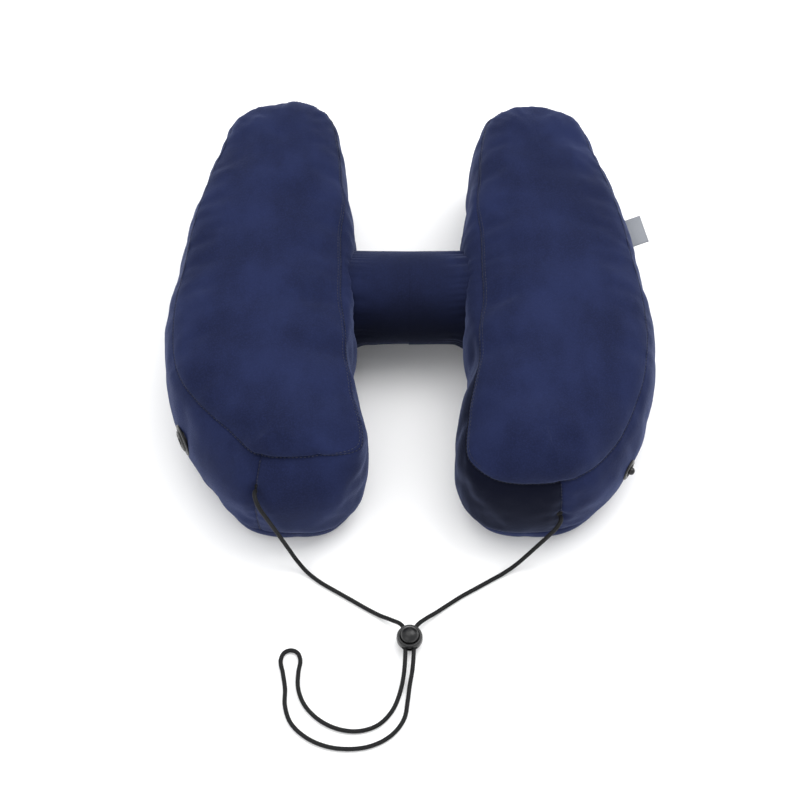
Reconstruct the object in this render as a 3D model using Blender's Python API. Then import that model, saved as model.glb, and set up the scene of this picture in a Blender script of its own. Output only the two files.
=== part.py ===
"""Inflatable travel neck pillow: two kidney-shaped wings joined by a round bridge.

The pillow lies on its base, +Z up, with its drawcord to the front (-Y).  Each wing is a
sewn cover of four panels over an air chamber; a drawcord with a ball lock joins the two
front ends.  All lengths are in metres.
"""

import math

import bmesh
import bpy
import numpy as np
from mathutils import Matrix, Vector

# ---------------------------------------------------------------- driving dimensions
CENTRE_X, CENTRE_Y = -0.0045, -0.006   # where the wings' pattern lies; balances the side label
FACE_GAP = 0.0003           # clearance between pieces that meet face to face

# Widest outline of the right wing, seen from above, measured from the centre line.
FRONT_TIP = (0.088, -0.184)
FAR_TIP = (0.103, 0.192)
INNER_SIDE = ((0.052, -0.177), (0.034, -0.155), (0.034, -0.118), (0.045, -0.066), (0.042, -0.026),
              (0.041, 0.016), (0.043, 0.056), (0.050, 0.100), (0.054, 0.140), (0.066, 0.178))
OUTER_FRONT = {"left": ((0.122, -0.178), (0.151, -0.148), (0.172, -0.111), (0.1855, -0.066),
                        (0.1868, -0.026)),
               "right": ((0.122, -0.178), (0.155, -0.150), (0.175, -0.112), (0.1855, -0.066),
                         (0.1868, -0.026))}
OUTER_ARC_CENTRE = (-0.366, -0.030)    # the outer side behind the middle is one circular arc,
OUTER_ARC_RADIUS = 0.550               # which the zip follows
OUTER_ARC_Y = (0.016, 0.056, 0.099, 0.139)
OUTER_FAR = (0.1455, 0.176)

CROWN_FRONT, CROWN_FAR = 0.112, 0.106  # height of the top panel along its middle
BOTTOM_SEAM_Z = 0.017
BOTTOM_SEAM_INSET = 0.003
CROWN_POWER = 2.6                      # how flat the middle of the top panel is
BASE_FLAT, BASE_POWER = 0.45, 3.3      # share of the base that lies flat, and its curl to the seam
SPINE_FRONT, SPINE_FAR = 2.2, 9.1      # stations where a wing's middle line starts and ends

SEAM_Z = 0.096                         # height of the top seam along the sides
SEAM_Z_FAR = 0.090
SEAM_INSET_INNER, SEAM_INSET_OUTER = {"left": 0.001, "right": 0.005}, 0.006
SEAM_INSET_BRIDGE = 0.010              # extra, where the band is drawn into the bridge
BRIDGE_Y, BRIDGE_Z = 0.016, 0.053
HINGE_X = 0.041                        # where the bridge meets a wing
FRONT_SEAM = {"left": (0.022, 0.096), "right": (0.008, 0.080)}   # inset and height at the front
TURN = {"left": 0.0, "right": 1.0}     # degrees each wing toes in about its bridge joint
FAR_REACH = {"left": 0.004, "right": 0.0}  # how much longer one wing's far end is

COVER = 0.0015                         # thickness of the velour cover
STATIONS = 22


# ---------------------------------------------------------------- curves and wing surface
def wing_stations(side):
    """A wing's widest outline as if it lay on the right: front tip, inner side, far tip, outer side."""
    cx, cy = OUTER_ARC_CENTRE
    arc = [(cx + math.sqrt(OUTER_ARC_RADIUS ** 2 - (y - cy) ** 2), y) for y in OUTER_ARC_Y]
    outer = list(OUTER_FRONT[side]) + arc + [OUTER_FAR]
    return np.array([FRONT_TIP, *INNER_SIDE, FAR_TIP, *reversed(outer)])


def hermite(points, t, closed):
    """Smooth curve through the points, read at the station numbers t."""
    points = np.asarray(points, float)
    count = len(points)
    if closed:
        before, after = np.roll(points, 1, axis=0), np.roll(points, -1, axis=0)
    else:
        before = np.vstack([2 * points[:1] - points[1:2], points[:-1]])
        after = np.vstack([points[1:], 2 * points[-1:] - points[-2:-1]])
    back = np.linalg.norm(points - before, axis=1, keepdims=True)
    ahead = np.linalg.norm(after - points, axis=1, keepdims=True)
    slope = ((points - before) / back * ahead + (after - points) / ahead * back) / (back + ahead)
    t = np.asarray(t, float)
    first = np.floor(t).astype(int)
    if not closed:
        first = np.clip(first, 0, count - 2)
    u = (t - first)[:, None]
    i, j = first % count, (first + 1) % count
    span = ahead[i]
    return ((2 * u ** 3 - 3 * u ** 2 + 1) * points[i] + (u ** 3 - 2 * u ** 2 + u) * slope[i] * span
            + (3 * u ** 2 - 2 * u ** 3) * points[j] + (u ** 3 - u ** 2) * slope[j] * span)


def smoothstep(low, high, value):
    k = np.clip((value - low) / (high - low), 0, 1)
    return k * k * (3 - 2 * k)


def wing_frame(side, t):
    """Widest outline, outward normal, middle line and seam data at the station numbers t."""
    stations = wing_stations(side)
    edge = hermite(stations, t, True)
    ahead = hermite(stations, np.asarray(t) + 0.02, True) - hermite(stations, np.asarray(t) - 0.02, True)
    ahead /= np.linalg.norm(ahead, axis=1, keepdims=True)
    normal = np.stack([-ahead[:, 1], ahead[:, 0]], 1)
    folded = np.abs((np.asarray(t) + STATIONS / 2) % STATIONS - STATIONS / 2)
    along = SPINE_FRONT + (SPINE_FAR - SPINE_FRONT) * folded / (STATIONS / 2)
    spine = (hermite(stations, along, True) + hermite(stations, -along, True)) / 2
    inner = 1 - smoothstep(0.085, 0.115, edge[:, 0])
    front = smoothstep(0.080, 0.165, -edge[:, 1])
    far = smoothstep(0.080, 0.180, edge[:, 1])
    near_bridge = np.exp(-((edge[:, 1] - BRIDGE_Y) / 0.055) ** 4)
    front_inset, front_z = FRONT_SEAM[side]
    toe = inner * smoothstep(0.080, 0.130, -edge[:, 1]) * (1 - smoothstep(0.150, 0.182, -edge[:, 1]))
    inset = SEAM_INSET_OUTER + (SEAM_INSET_INNER[side] - SEAM_INSET_OUTER) * inner
    inset = inset + SEAM_INSET_BRIDGE * inner * near_bridge
    inset = inset + (front_inset - inset) * front * (1 - toe)
    seam_z = SEAM_Z + (front_z - SEAM_Z) * front + (SEAM_Z_FAR - SEAM_Z) * far
    crown = CROWN_FRONT + (CROWN_FAR - CROWN_FRONT) * folded / (STATIONS / 2)
    return edge, normal, spine, inset, seam_z, crown


def wing_surface(side, part, t, rows, depth=0.0, gap=0.0):
    """Grid of points (rows x stations) on the top, wall or bottom of a wing, moved in by depth."""
    edge, normal, spine, inset, seam_z, crown = wing_frame(side, t)
    grid = []
    for row in rows:
        if part == "wall":
            low, high = BOTTOM_SEAM_Z + depth + gap, seam_z - depth - gap
            z = low + (high - low) * row
            middle = (BOTTOM_SEAM_Z + seam_z) / 2
            upper = np.clip((z - middle) / (seam_z - depth - middle), 0, 1)
            lower = np.clip((middle - z) / (middle - BOTTOM_SEAM_Z - depth), 0, 1)
            pull = depth + inset * upper ** 2 + BOTTOM_SEAM_INSET * lower ** 2
            plan = edge - normal * pull[:, None]
        elif part == "top":
            rim = edge - normal * (inset + depth)[:, None]
            reach = np.linalg.norm(rim - spine, axis=1)
            s = row * (1 - gap / reach)
            plan = spine + (rim - spine) * s[:, None]
            z = seam_z + (crown - seam_z) * (1 - s ** CROWN_POWER) - depth
        else:
            rim = edge - normal * (BOTTOM_SEAM_INSET + depth)
            reach = np.linalg.norm(rim - spine, axis=1)
            s = row * (1 - gap / reach)
            plan = spine + (rim - spine) * s[:, None]
            z = BOTTOM_SEAM_Z * np.clip((s - BASE_FLAT) / (1 - BASE_FLAT), 0, 1) ** BASE_POWER + depth
        grid.append(np.column_stack([plan, z]))
    grid = np.array(grid)
    return place_wing(side, grid)


def place_wing(side, points):
    """Carry points of the right-hand pattern to where a wing lies."""
    points = np.array(points, float)
    turn = math.radians(TURN[side])
    x, y = points[..., 0] - HINGE_X, points[..., 1] - BRIDGE_Y
    points[..., 0] = HINGE_X + x * math.cos(turn) - y * math.sin(turn)
    points[..., 1] = BRIDGE_Y + x * math.sin(turn) + y * math.cos(turn)
    points[..., 1] += FAR_REACH[side] * smoothstep(0.08, 0.19, points[..., 1])
    if side == "left":
        points[..., 0] *= -1
    return points + np.array([CENTRE_X, CENTRE_Y, 0])


# ---------------------------------------------------------------- solids
PANEL_ROWS = (0.0, 0.44, 0.75, 0.92, 1.0)
WALL_ROWS = (0.0, 0.20, 0.40, 0.58, 0.74, 0.88, 1.0)
SEAM_GAP = 0.00015                     # each panel stops this short of a seam
FRONT_JOIN = {"left": 21.28, "right": 21.42}   # stations of the band's upright seams
FAR_JOIN = 11.0

CHAMBER_DEPTH = 0.0040                 # the air chamber lies this far inside the cover's face
FILM = 0.0005
NECK_RADIUS = 0.029

BRIDGE_RADIUS = 0.0366
BRIDGE_HOLE_RADIUS = 0.0331
AIR_TUBE_RADIUS, AIR_TUBE_HALF_LENGTH = 0.0341, 0.034

VALVE_STATION = {"left": 19.10, "right": 19.75}
VALVE_Z = {"left": 0.048, "right": 0.045}
VALVE_HOLE_RADIUS = {"left": 0.0112, "right": 0.0070}
CORD_EXIT_Z = {"left": 0.076, "right": 0.046}
CORD_DIAMETER = 0.0032
CORD_HOLE_RADIUS = 0.0030

ZIP_Z = 0.056
ZIP_START, ZIP_END = math.radians(6.87), math.radians(18.22)
ZIP_SLOT_HALF = 0.0065
SLIDER_ANGLE = math.radians(7.92)

LOCK_X, LOCK_Y = CENTRE_X, -0.267
LOCK_RADIUS = 0.0096
STRAND_X, STRAND_Z = 0.0030, 0.0086

materials = {}


def finish(name, colour, roughness, metallic=0.0):
    if name not in materials:
        made = bpy.data.materials.new(name)
        made.use_nodes = True
        shader = made.node_tree.nodes["Principled BSDF"]
        shader.inputs["Base Color"].default_value = (*colour, 1)
        shader.inputs["Roughness"].default_value = roughness
        shader.inputs["Metallic"].default_value = metallic
        materials[name] = made
    return materials[name]


def velour():
    return finish("navy velour", (0.020, 0.030, 0.105), 0.85)


def film():
    return finish("clear grey film", (0.45, 0.47, 0.50), 0.35)


def black_plastic():
    return finish("black plastic", (0.012, 0.012, 0.013), 0.35)


def soft_valve():
    return finish("soft valve vinyl", (0.05, 0.05, 0.055), 0.3)


def steel():
    return finish("spring steel", (0.60, 0.60, 0.60), 0.3, 1.0)


def cord_braid():
    return finish("black braid", (0.010, 0.010, 0.011), 0.8)


def add_object(name, bm, material, origin=None, smooth=True):
    """Turn a bmesh in world places into an object, with its origin where it turns or slides."""
    bmesh.ops.recalc_face_normals(bm, faces=bm.faces)
    origin = Vector(origin or (0, 0, 0))
    bmesh.ops.translate(bm, verts=bm.verts, vec=-origin)
    mesh = bpy.data.meshes.new(name)
    bm.to_mesh(mesh)
    bm.free()
    if smooth:
        mesh.shade_smooth()
        mesh.set_sharp_from_angle(angle=math.radians(35))
    mesh.materials.append(material)
    made = bpy.data.objects.new(name, mesh)
    made.location = origin
    bpy.context.scene.collection.objects.link(made)
    return made


def add_cutter(name, bm):
    made = add_object(name, bm, finish("cutter", (1, 0, 0), 0.5), smooth=False)
    made.hide_render = True
    made.display_type = "WIRE"
    return made


def cut(target, cutter, operation="DIFFERENCE"):
    step = target.modifiers.new(cutter.name, "BOOLEAN")
    step.operation = operation
    step.object = cutter


def bridge_grid(bm, grid, closed):
    """Quads over a rows x columns grid of points."""
    grid = [[bm.verts.new(tuple(p)) for p in row] for row in grid]
    count = len(grid[0])
    for low, high in zip(grid, grid[1:]):
        for i in range(count if closed else count - 1):
            j = (i + 1) % count
            bm.faces.new((low[i], low[j], high[j], high[i]))
    return grid


def sheet_body(outer, inner, closed, open_first):
    """A closed shell from two matching grids; its first row is a rim only if open_first."""
    bm = bmesh.new()
    outside = bridge_grid(bm, outer, closed)
    inside = bridge_grid(bm, inner, closed)
    rims = [(outside[-1], inside[-1])]
    if open_first:
        rims.append((outside[0], inside[0]))
    for a, b in rims:
        for i in range(len(a) if closed else len(a) - 1):
            j = (i + 1) % len(a)
            bm.faces.new((a[i], a[j], b[j], b[i]))
    if not closed:
        for end in (0, -1):
            for k in range(len(outside) - 1):
                bm.faces.new((outside[k][end], outside[k + 1][end], inside[k + 1][end], inside[k][end]))
    bmesh.ops.remove_doubles(bm, verts=bm.verts, dist=1e-6)
    return bm


def turned(profile, segments=24):
    """A body turned about Z from its closed outline of (radius, height) points."""
    bm = bmesh.new()
    rings = []
    for k in range(segments):
        a = 2 * math.pi * k / segments
        rings.append([bm.verts.new((r * math.cos(a), r * math.sin(a), z)) for r, z in profile])
    for k in range(segments):
        here, ahead = rings[k], rings[(k + 1) % segments]
        for i in range(len(profile)):
            j = (i + 1) % len(profile)
            if profile[i][0] > 0 or profile[j][0] > 0:
                bm.faces.new((here[i], here[j], ahead[j], ahead[i]))
    bmesh.ops.remove_doubles(bm, verts=bm.verts, dist=1e-7)
    return bm


def box_body(size, centre):
    bm = bmesh.new()
    bmesh.ops.create_cube(bm, size=1)
    bmesh.ops.scale(bm, vec=size, verts=bm.verts)
    bmesh.ops.translate(bm, vec=centre, verts=bm.verts)
    return bm


def upright(plan, low, high):
    """A prism standing on its plan outline."""
    bm = bmesh.new()
    foot = [bm.verts.new((x, y, low)) for x, y in plan]
    head = [bm.verts.new((x, y, high)) for x, y in plan]
    bm.faces.new(foot)
    bm.faces.new(head)
    for i in range(len(plan)):
        j = (i + 1) % len(plan)
        bm.faces.new((foot[i], foot[j], head[j], head[i]))
    return bm


def moved(bm, matrix):
    bmesh.ops.transform(bm, matrix=matrix, verts=bm.verts)
    return bm


def wall_matrix(side, station, z):
    """A frame on a wing's wall: origin on the cover's face, Z outward, X along the wall."""
    edge, normal, _, inset, seam_z, _ = wing_frame(side, [station])
    middle = (BOTTOM_SEAM_Z + seam_z[0]) / 2
    upper = max(0.0, (z - middle) / (seam_z[0] - middle))
    lower = max(0.0, (middle - z) / (middle - BOTTOM_SEAM_Z))
    pull = inset[0] * upper ** 2 + BOTTOM_SEAM_INSET * lower ** 2
    lean = (2 * inset[0] * upper / (seam_z[0] - middle)
            - 2 * BOTTOM_SEAM_INSET * lower / (middle - BOTTOM_SEAM_Z))
    foot = edge[0] - normal[0] * pull
    here = place_wing(side, [[*foot, z]])[0]
    ahead = place_wing(side, [[*(foot + normal[0] * 0.001), z + lean * 0.001]])[0]
    outward = Vector(ahead - here).normalized()
    along = Vector((0, 0, 1)).cross(outward).normalized()
    up = outward.cross(along)
    turn = Matrix((along, up, outward)).transposed().to_4x4()
    return Matrix.Translation(Vector(here)) @ turn


# ---------------------------------------------------------------- covers and air chambers
def grid_stations(side):
    """Where a wing's grid lines stand: two per station, and one at the front join and its pair."""
    join = FRONT_JOIN[side]
    return sorted({k / 2 for k in range(2 * STATIONS)} | {join, STATIONS - join})


def make_panels(side):
    around = grid_stations(side)
    for part, name in (("top", "top_panel"), ("bottom", "bottom_panel")):
        outer = wing_surface(side, part, around, PANEL_ROWS, 0, SEAM_GAP)
        inner = wing_surface(side, part, around, PANEL_ROWS, COVER, SEAM_GAP)
        add_object(f"{side}_{name}", sheet_body(outer, inner, True, False), velour())


def make_band(side, name, first, last):
    step = 0.005                       # stations left open at each upright seam
    between = [t + lap for lap in (-STATIONS, 0) for t in grid_stations(side) if first < t + lap < last]
    t = [first + step, *between, last - step]
    outer = wing_surface(side, "wall", t, WALL_ROWS, 0, SEAM_GAP)
    inner = wing_surface(side, "wall", t, WALL_ROWS, COVER, SEAM_GAP)
    return add_object(f"{side}_{name}", sheet_body(outer, inner, False, True), velour())


def wing_body(side, depth, rows, wall_rows):
    """The whole of a wing as one closed surface, moved in by depth."""
    around = grid_stations(side)
    bottom = wing_surface(side, "bottom", around, rows, depth)
    wall = wing_surface(side, "wall", around, wall_rows, depth)
    top = wing_surface(side, "top", around, rows, depth)
    bm = bmesh.new()
    bridge_grid(bm, np.concatenate([bottom, wall[1:], top[::-1][1:]]), True)
    bmesh.ops.remove_doubles(bm, verts=bm.verts, dist=1e-6)
    return bm


def cylinder_along(axis_matrix, radius, low, high, segments=24):
    return moved(turned([(0, low), (radius, low), (radius, high), (0, high)], segments), axis_matrix)


def bridge_matrix():
    return (Matrix.Translation((CENTRE_X, CENTRE_Y + BRIDGE_Y, BRIDGE_Z))
            @ Matrix.Rotation(math.radians(90), 4, "Y"))


def make_wing(side):
    make_panels(side)
    inner_band = make_band(side, "inner_band", FRONT_JOIN[side] - STATIONS, FAR_JOIN)
    outer_band = make_band(side, "outer_band", FAR_JOIN, FRONT_JOIN[side])
    sign = -1 if side == "left" else 1
    rows = ((0.0, 0.6, 1.0), (0.0, 0.5, 1.0))
    chamber = add_object(f"{side}_air_chamber", wing_body(side, CHAMBER_DEPTH, *rows), film())
    lining = add_cutter(f"cut_{side}_air", wing_body(side, CHAMBER_DEPTH + FILM, *rows))

    reach = sorted((sign * 0.020, sign * 0.075))
    neck = add_cutter(f"cut_{side}_neck", cylinder_along(bridge_matrix(), NECK_RADIUS, *reach))
    cut(lining, neck, "UNION")
    opening = add_cutter(f"cut_{side}_opening", cylinder_along(bridge_matrix(), BRIDGE_HOLE_RADIUS, *reach))
    cut(inner_band, opening)

    valve = wall_matrix(side, VALVE_STATION[side], VALVE_Z[side])
    hole = cylinder_along(valve, VALVE_HOLE_RADIUS[side], -0.0026, 0.008)
    cut(outer_band, add_cutter(f"cut_{side}_valve", hole))
    cut(lining, add_cutter(f"cut_{side}_port", cylinder_along(valve, 0.0089, -0.012, 0.008)), "UNION")
    cut(chamber, lining)

    cord = wall_matrix(side, FRONT_JOIN[side], CORD_EXIT_Z[side])
    hole = add_cutter(f"cut_{side}_cord", cylinder_along(cord, CORD_HOLE_RADIUS, -0.0030, 0.006, 12))
    cut(inner_band, hole)
    cut(outer_band, hole)
    anchor = moved(box_body((0.009, 0.007, 0.0010), (0, 0, -0.0031)), cord)
    add_object(f"{side}_cord_anchor", anchor, cord_braid(), smooth=False)
    return outer_band


def make_bridge():
    sleeve = [(BRIDGE_RADIUS, -0.056), (BRIDGE_RADIUS, 0.056),
              (BRIDGE_RADIUS - COVER, 0.056), (BRIDGE_RADIUS - COVER, -0.056)]
    made = add_object("bridge_sleeve", moved(turned(sleeve, 36), bridge_matrix()), velour())
    for side in ("left", "right"):
        cut(made, add_cutter(f"cut_{side}_wing", wing_body(side, -FACE_GAP, PANEL_ROWS, WALL_ROWS)))
    half, wall = AIR_TUBE_HALF_LENGTH, AIR_TUBE_RADIUS - 2 * FILM
    tube = [(AIR_TUBE_RADIUS, -half), (AIR_TUBE_RADIUS, half), (wall, half), (wall, -half)]
    add_object("bridge_air_tube", moved(turned(tube, 32), bridge_matrix()), film())


# ---------------------------------------------------------------- inflation and release valves
def lathe_in(matrix, profile, segments=24):
    return moved(turned(profile, segments), matrix)


def spring_curve(name, matrix, radius, low, high, turns, wire, origin=None):
    """A round-wire coil spring about the Z axis of matrix."""
    curve = bpy.data.curves.new(name, "CURVE")
    curve.dimensions = "3D"
    curve.bevel_depth = wire / 2
    curve.bevel_resolution = 0
    curve.use_fill_caps = True
    steps = 10 * turns
    spline = curve.splines.new("POLY")
    spline.points.add(steps)
    origin = Vector(origin or (0, 0, 0))
    for k, point in enumerate(spline.points):
        a = 2 * math.pi * k / 10
        at = matrix @ Vector((radius * math.cos(a), radius * math.sin(a), low + (high - low) * k / steps))
        point.co = (*(at - origin), 1)
    made = bpy.data.objects.new(name, curve)
    made.location = origin
    curve.materials.append(steel())
    bpy.context.scene.collection.objects.link(made)
    return made


def make_valve_body(side, name):
    """The welded vinyl socket of a valve: a barrel with a flange under the cover."""
    matrix = wall_matrix(side, VALVE_STATION[side], VALVE_Z[side])
    neck = VALVE_HOLE_RADIUS[side] - 0.0004
    mouth = neck - 0.0024
    bore = mouth - 0.0010 if side == "right" else 0.0056
    barrel = [(mouth, 0.0004), (mouth, -0.0029), (0.0101, -0.0029), (0.0101, -0.0037),
              (0.0086, -0.0037), (0.0086, -0.0160), (0.0028, -0.0160), (0.0028, -0.0148),
              (bore, -0.0148), (bore, 0.0004)]
    add_object(name, lathe_in(matrix, barrel), soft_valve())
    grommet = [(neck, -0.0024), (neck, 0.0004), (neck + 0.0016, 0.0004), (neck + 0.0016, 0.0012),
               (neck + 0.0006, 0.0018), (neck - 0.0016, 0.0018), (neck - 0.0016, -0.0024)]
    add_object(f"{side}_valve_grommet", lathe_in(matrix, grommet), black_plastic())
    return matrix


def make_inflation_valve():
    matrix = make_valve_body("left", "inflation_valve_body")
    flap = [(0, -0.0145), (0.0052, -0.0145), (0.0052, -0.0137), (0, -0.0137)]
    add_object("inflation_valve_flap", lathe_in(matrix, flap), soft_valve())
    cap = [(0, -0.0060), (0.0046, -0.0060), (0.0051, -0.0052), (0.0051, 0.0008), (0.0086, 0.0008),
           (0.0088, 0.0018), (0.0080, 0.0030), (0.0060, 0.0037), (0.0030, 0.0040), (0, 0.0041)]
    add_object("inflation_valve_cap", lathe_in(matrix, cap), black_plastic(), origin=matrix.translation)


def make_release_valve():
    matrix = make_valve_body("right", "release_valve_body")
    button = [(0, -0.0142), (0.0009, -0.0142), (0.0009, -0.0006), (0.0027, -0.0006), (0.0029, 0.0000),
              (0.0029, 0.0034), (0.0025, 0.0046), (0.0016, 0.0053), (0, 0.0055)]
    add_object("release_valve_button", lathe_in(matrix, button), black_plastic(), origin=matrix.translation)
    disc = [(0, -0.0190), (0.0050, -0.0190), (0.0050, -0.0163), (0.0015, -0.0163), (0.0015, -0.0145),
            (0, -0.0145)]
    add_object("release_valve_disc", lathe_in(matrix, disc), soft_valve(), origin=matrix.translation)
    spring_curve("release_valve_spring", matrix, 0.0022, -0.0142, -0.0012, 6, 0.0006)


# ---------------------------------------------------------------- zip and label
def zip_centre():
    at = place_wing("right", [[*OUTER_ARC_CENTRE, 0]])[0]
    return Vector((at[0], at[1], 0))


def zip_matrix(angle, z):
    """A frame on the outer side's arc: X along the zip, Y up, Z outward."""
    angle += math.radians(TURN["right"])
    outward = Vector((math.cos(angle), math.sin(angle), 0))
    along = Vector((-math.sin(angle), math.cos(angle), 0))
    turn = Matrix((along, Vector((0, 0, 1)), outward)).transposed().to_4x4()
    return Matrix.Translation(zip_centre() + OUTER_ARC_RADIUS * outward + Vector((0, 0, z))) @ turn


def swept(outline, first, last, steps, z=ZIP_Z):
    """An outline of (up, out) points carried along the zip's arc."""
    bm = bmesh.new()
    rings = []
    for k in range(steps + 1):
        frame = zip_matrix(first + (last - first) * k / steps, z)
        rings.append([bm.verts.new(frame @ Vector((0, up, out))) for up, out in outline])
    for here, ahead in zip(rings, rings[1:]):
        for i in range(len(outline)):
            j = (i + 1) % len(outline)
            bm.faces.new((here[i], here[j], ahead[j], ahead[i]))
    bm.faces.new(rings[0])
    bm.faces.new(rings[-1])
    return bm


def mirrored(outline):
    return [(-up, out) for up, out in reversed(outline)]


def make_zip(outer_band):
    half = ZIP_SLOT_HALF
    margin = math.radians(0.167)
    slot = [(-half, -0.003), (half, -0.003), (half, 0.004), (-half, 0.004)]
    cut(outer_band, add_cutter("cut_zip_slot", swept(slot, ZIP_START - margin, ZIP_END + margin, 16)))
    tape = [(0.00015, -0.0018), (0.00015, 0.0004), (0.0019, 0.0004), (0.0019, -0.0005),
            (0.0062, -0.0005), (0.0062, -0.0013), (0.0019, -0.0013), (0.0019, -0.0018)]
    add_object("zip_upper_tape", swept(tape, ZIP_START, ZIP_END, 22), velour(), smooth=False)
    add_object("zip_lower_tape", swept(mirrored(tape), ZIP_START, ZIP_END, 22), velour(), smooth=False)

    frame = zip_matrix(SLIDER_ANGLE, ZIP_Z)
    reach = math.radians(0.47)
    channel = [(-0.0023, 0.0007), (-0.0023, -0.0002), (-0.0036, -0.0002), (-0.0036, 0.0019),
               (0.0036, 0.0019), (0.0036, -0.0002), (0.0023, -0.0002), (0.0023, 0.0007)]
    slider = add_object("zip_slider", swept(channel, SLIDER_ANGLE - reach, SLIDER_ANGLE + reach, 2),
                        black_plastic(), origin=zip_centre(), smooth=False)
    crown = moved(box_body((0.0072, 0.0014, 0.0028), (0, 0, 0.0030)), frame)
    crown_block = add_cutter("join_slider_crown", crown)
    cut(slider, crown_block, "UNION")
    window = moved(box_body((0.0052, 0.0060, 0.0017), (0, 0, 0.00275)), frame)
    cut(slider, add_cutter("cut_slider_crown", window))

    pivot = frame @ Vector((0, 0, 0.0027))
    pull = box_body((0.0186, 0.0048, 0.0010), (0.0087, 0, 0.0027))
    tab = add_object("zip_pull", moved(pull, frame), black_plastic(), origin=pivot, smooth=False)
    eye = moved(box_body((0.0044, 0.0022, 0.0040), (0.0028, 0, 0.0027)), frame)
    cut(tab, add_cutter("cut_pull_eye", eye))


LABEL_ANGLE = math.radians(10.25)
LABEL_Z = 0.0648
LABEL_LENGTH, LABEL_WIDTH, LABEL_THICK = 0.027, 0.0155, 0.0008
LABEL_TILT = math.radians(17)


def make_label():
    frame = zip_matrix(LABEL_ANGLE, LABEL_Z) @ Matrix.Rotation(-LABEL_TILT, 4, "X")
    plate = box_body((LABEL_LENGTH, LABEL_THICK, LABEL_WIDTH), (0, 0, LABEL_WIDTH / 2 + 0.0006))
    add_object("side_label", moved(plate, frame), finish("grey woven tape", (0.50, 0.52, 0.55), 0.7),
               smooth=False)


# ---------------------------------------------------------------- drawcord and ball lock
LEFT_LEAD = ((-0.1160, -0.1816, 0.0753), (-0.1167, -0.1858, 0.0768), (-0.1156, -0.1906, 0.0763),
             (-0.1130, -0.1948, 0.0718), (-0.1088, -0.1971, 0.0626), (-0.1041, -0.1982, 0.0500),
             (-0.0993, -0.1991, 0.0362), (-0.0940, -0.2006, 0.0218), (-0.0878, -0.2042, 0.0094),
             (-0.0806, -0.2100, 0.0031), (-0.0715, -0.2172, 0.0020), (-0.0595, -0.2250, 0.0020),
             (-0.0475, -0.2325, 0.0020), (-0.0365, -0.2395, 0.0020), (-0.0265, -0.2455, 0.0026),
             (-0.0175, -0.2510, 0.0058), (-0.0105, -0.2560, 0.0083), (-0.0077, -0.2610, 0.0086),
             (-0.0075, -0.2650, 0.0086))
RIGHT_LEAD = ((0.1068, -0.1853, 0.0460), (0.1069, -0.1898, 0.0462), (0.1040, -0.1944, 0.0443),
              (0.0985, -0.1972, 0.0370), (0.0912, -0.1993, 0.0262), (0.0830, -0.2020, 0.0150),
              (0.0748, -0.2056, 0.0066), (0.0655, -0.2106, 0.0027), (0.0560, -0.2161, 0.0020),
              (0.0455, -0.2225, 0.0020), (0.0340, -0.2295, 0.0020), (0.0240, -0.2365, 0.0020),
              (0.0155, -0.2430, 0.0028), (0.0080, -0.2495, 0.0060), (0.0015, -0.2560, 0.0083),
              (-0.0013, -0.2610, 0.0086), (-0.0015, -0.2650, 0.0086))
TAIL = ((-0.0075, -0.2660, 0.0086), (-0.0076, -0.2780, 0.0086), (-0.0080, -0.2870, 0.0079),
        (-0.0092, -0.2975, 0.0050), (-0.0120, -0.3090, 0.0022), (-0.0175, -0.3220, 0.0020),
        (-0.0275, -0.3325, 0.0020), (-0.0415, -0.3370, 0.0020), (-0.0565, -0.3350, 0.0020),
        (-0.0715, -0.3265, 0.0020), (-0.0810, -0.3150, 0.0020), (-0.0850, -0.3030, 0.0020),
        (-0.0851, -0.2910, 0.0020), (-0.0841, -0.2805, 0.0020), (-0.0862, -0.2756, 0.0020),
        (-0.0911, -0.2735, 0.0020), (-0.0960, -0.2756, 0.0020), (-0.0981, -0.2805, 0.0020),
        (-0.0963, -0.2920, 0.0020), (-0.0943, -0.3040, 0.0020), (-0.0940, -0.3170, 0.0020),
        (-0.0895, -0.3305, 0.0020), (-0.0785, -0.3415, 0.0020), (-0.0635, -0.3485, 0.0020),
        (-0.0475, -0.3505, 0.0020), (-0.0315, -0.3480, 0.0020), (-0.0175, -0.3400, 0.0020),
        (-0.0085, -0.3275, 0.0020), (-0.0060, -0.3140, 0.0020), (-0.0046, -0.3030, 0.0036),
        (-0.0026, -0.2920, 0.0068), (-0.0016, -0.2800, 0.0086), (-0.0015, -0.2660, 0.0086))
CORD_STEP = 0.0095


def make_cord(name, route):
    """A tube along a smooth curve through the route's points, read every few diameters."""
    fine = hermite(route, np.linspace(0, len(route) - 1, 40 * len(route)), False)
    run = np.concatenate([[0], np.cumsum(np.linalg.norm(np.diff(fine, axis=0), axis=1))])
    count = int(run[-1] / CORD_STEP) + 1
    places = np.linspace(0, run[-1], count)
    curve = bpy.data.curves.new(name, "CURVE")
    curve.dimensions = "3D"
    curve.bevel_depth = CORD_DIAMETER / 2
    curve.bevel_resolution = 2
    curve.use_fill_caps = True
    spline = curve.splines.new("POLY")
    spline.points.add(count - 1)
    for k, point in enumerate(spline.points):
        point.co = (*(np.interp(places[k], run, fine[:, axis]) for axis in range(3)), 1)
    curve.materials.append(cord_braid())
    bpy.context.scene.collection.objects.link(bpy.data.objects.new(name, curve))


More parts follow.
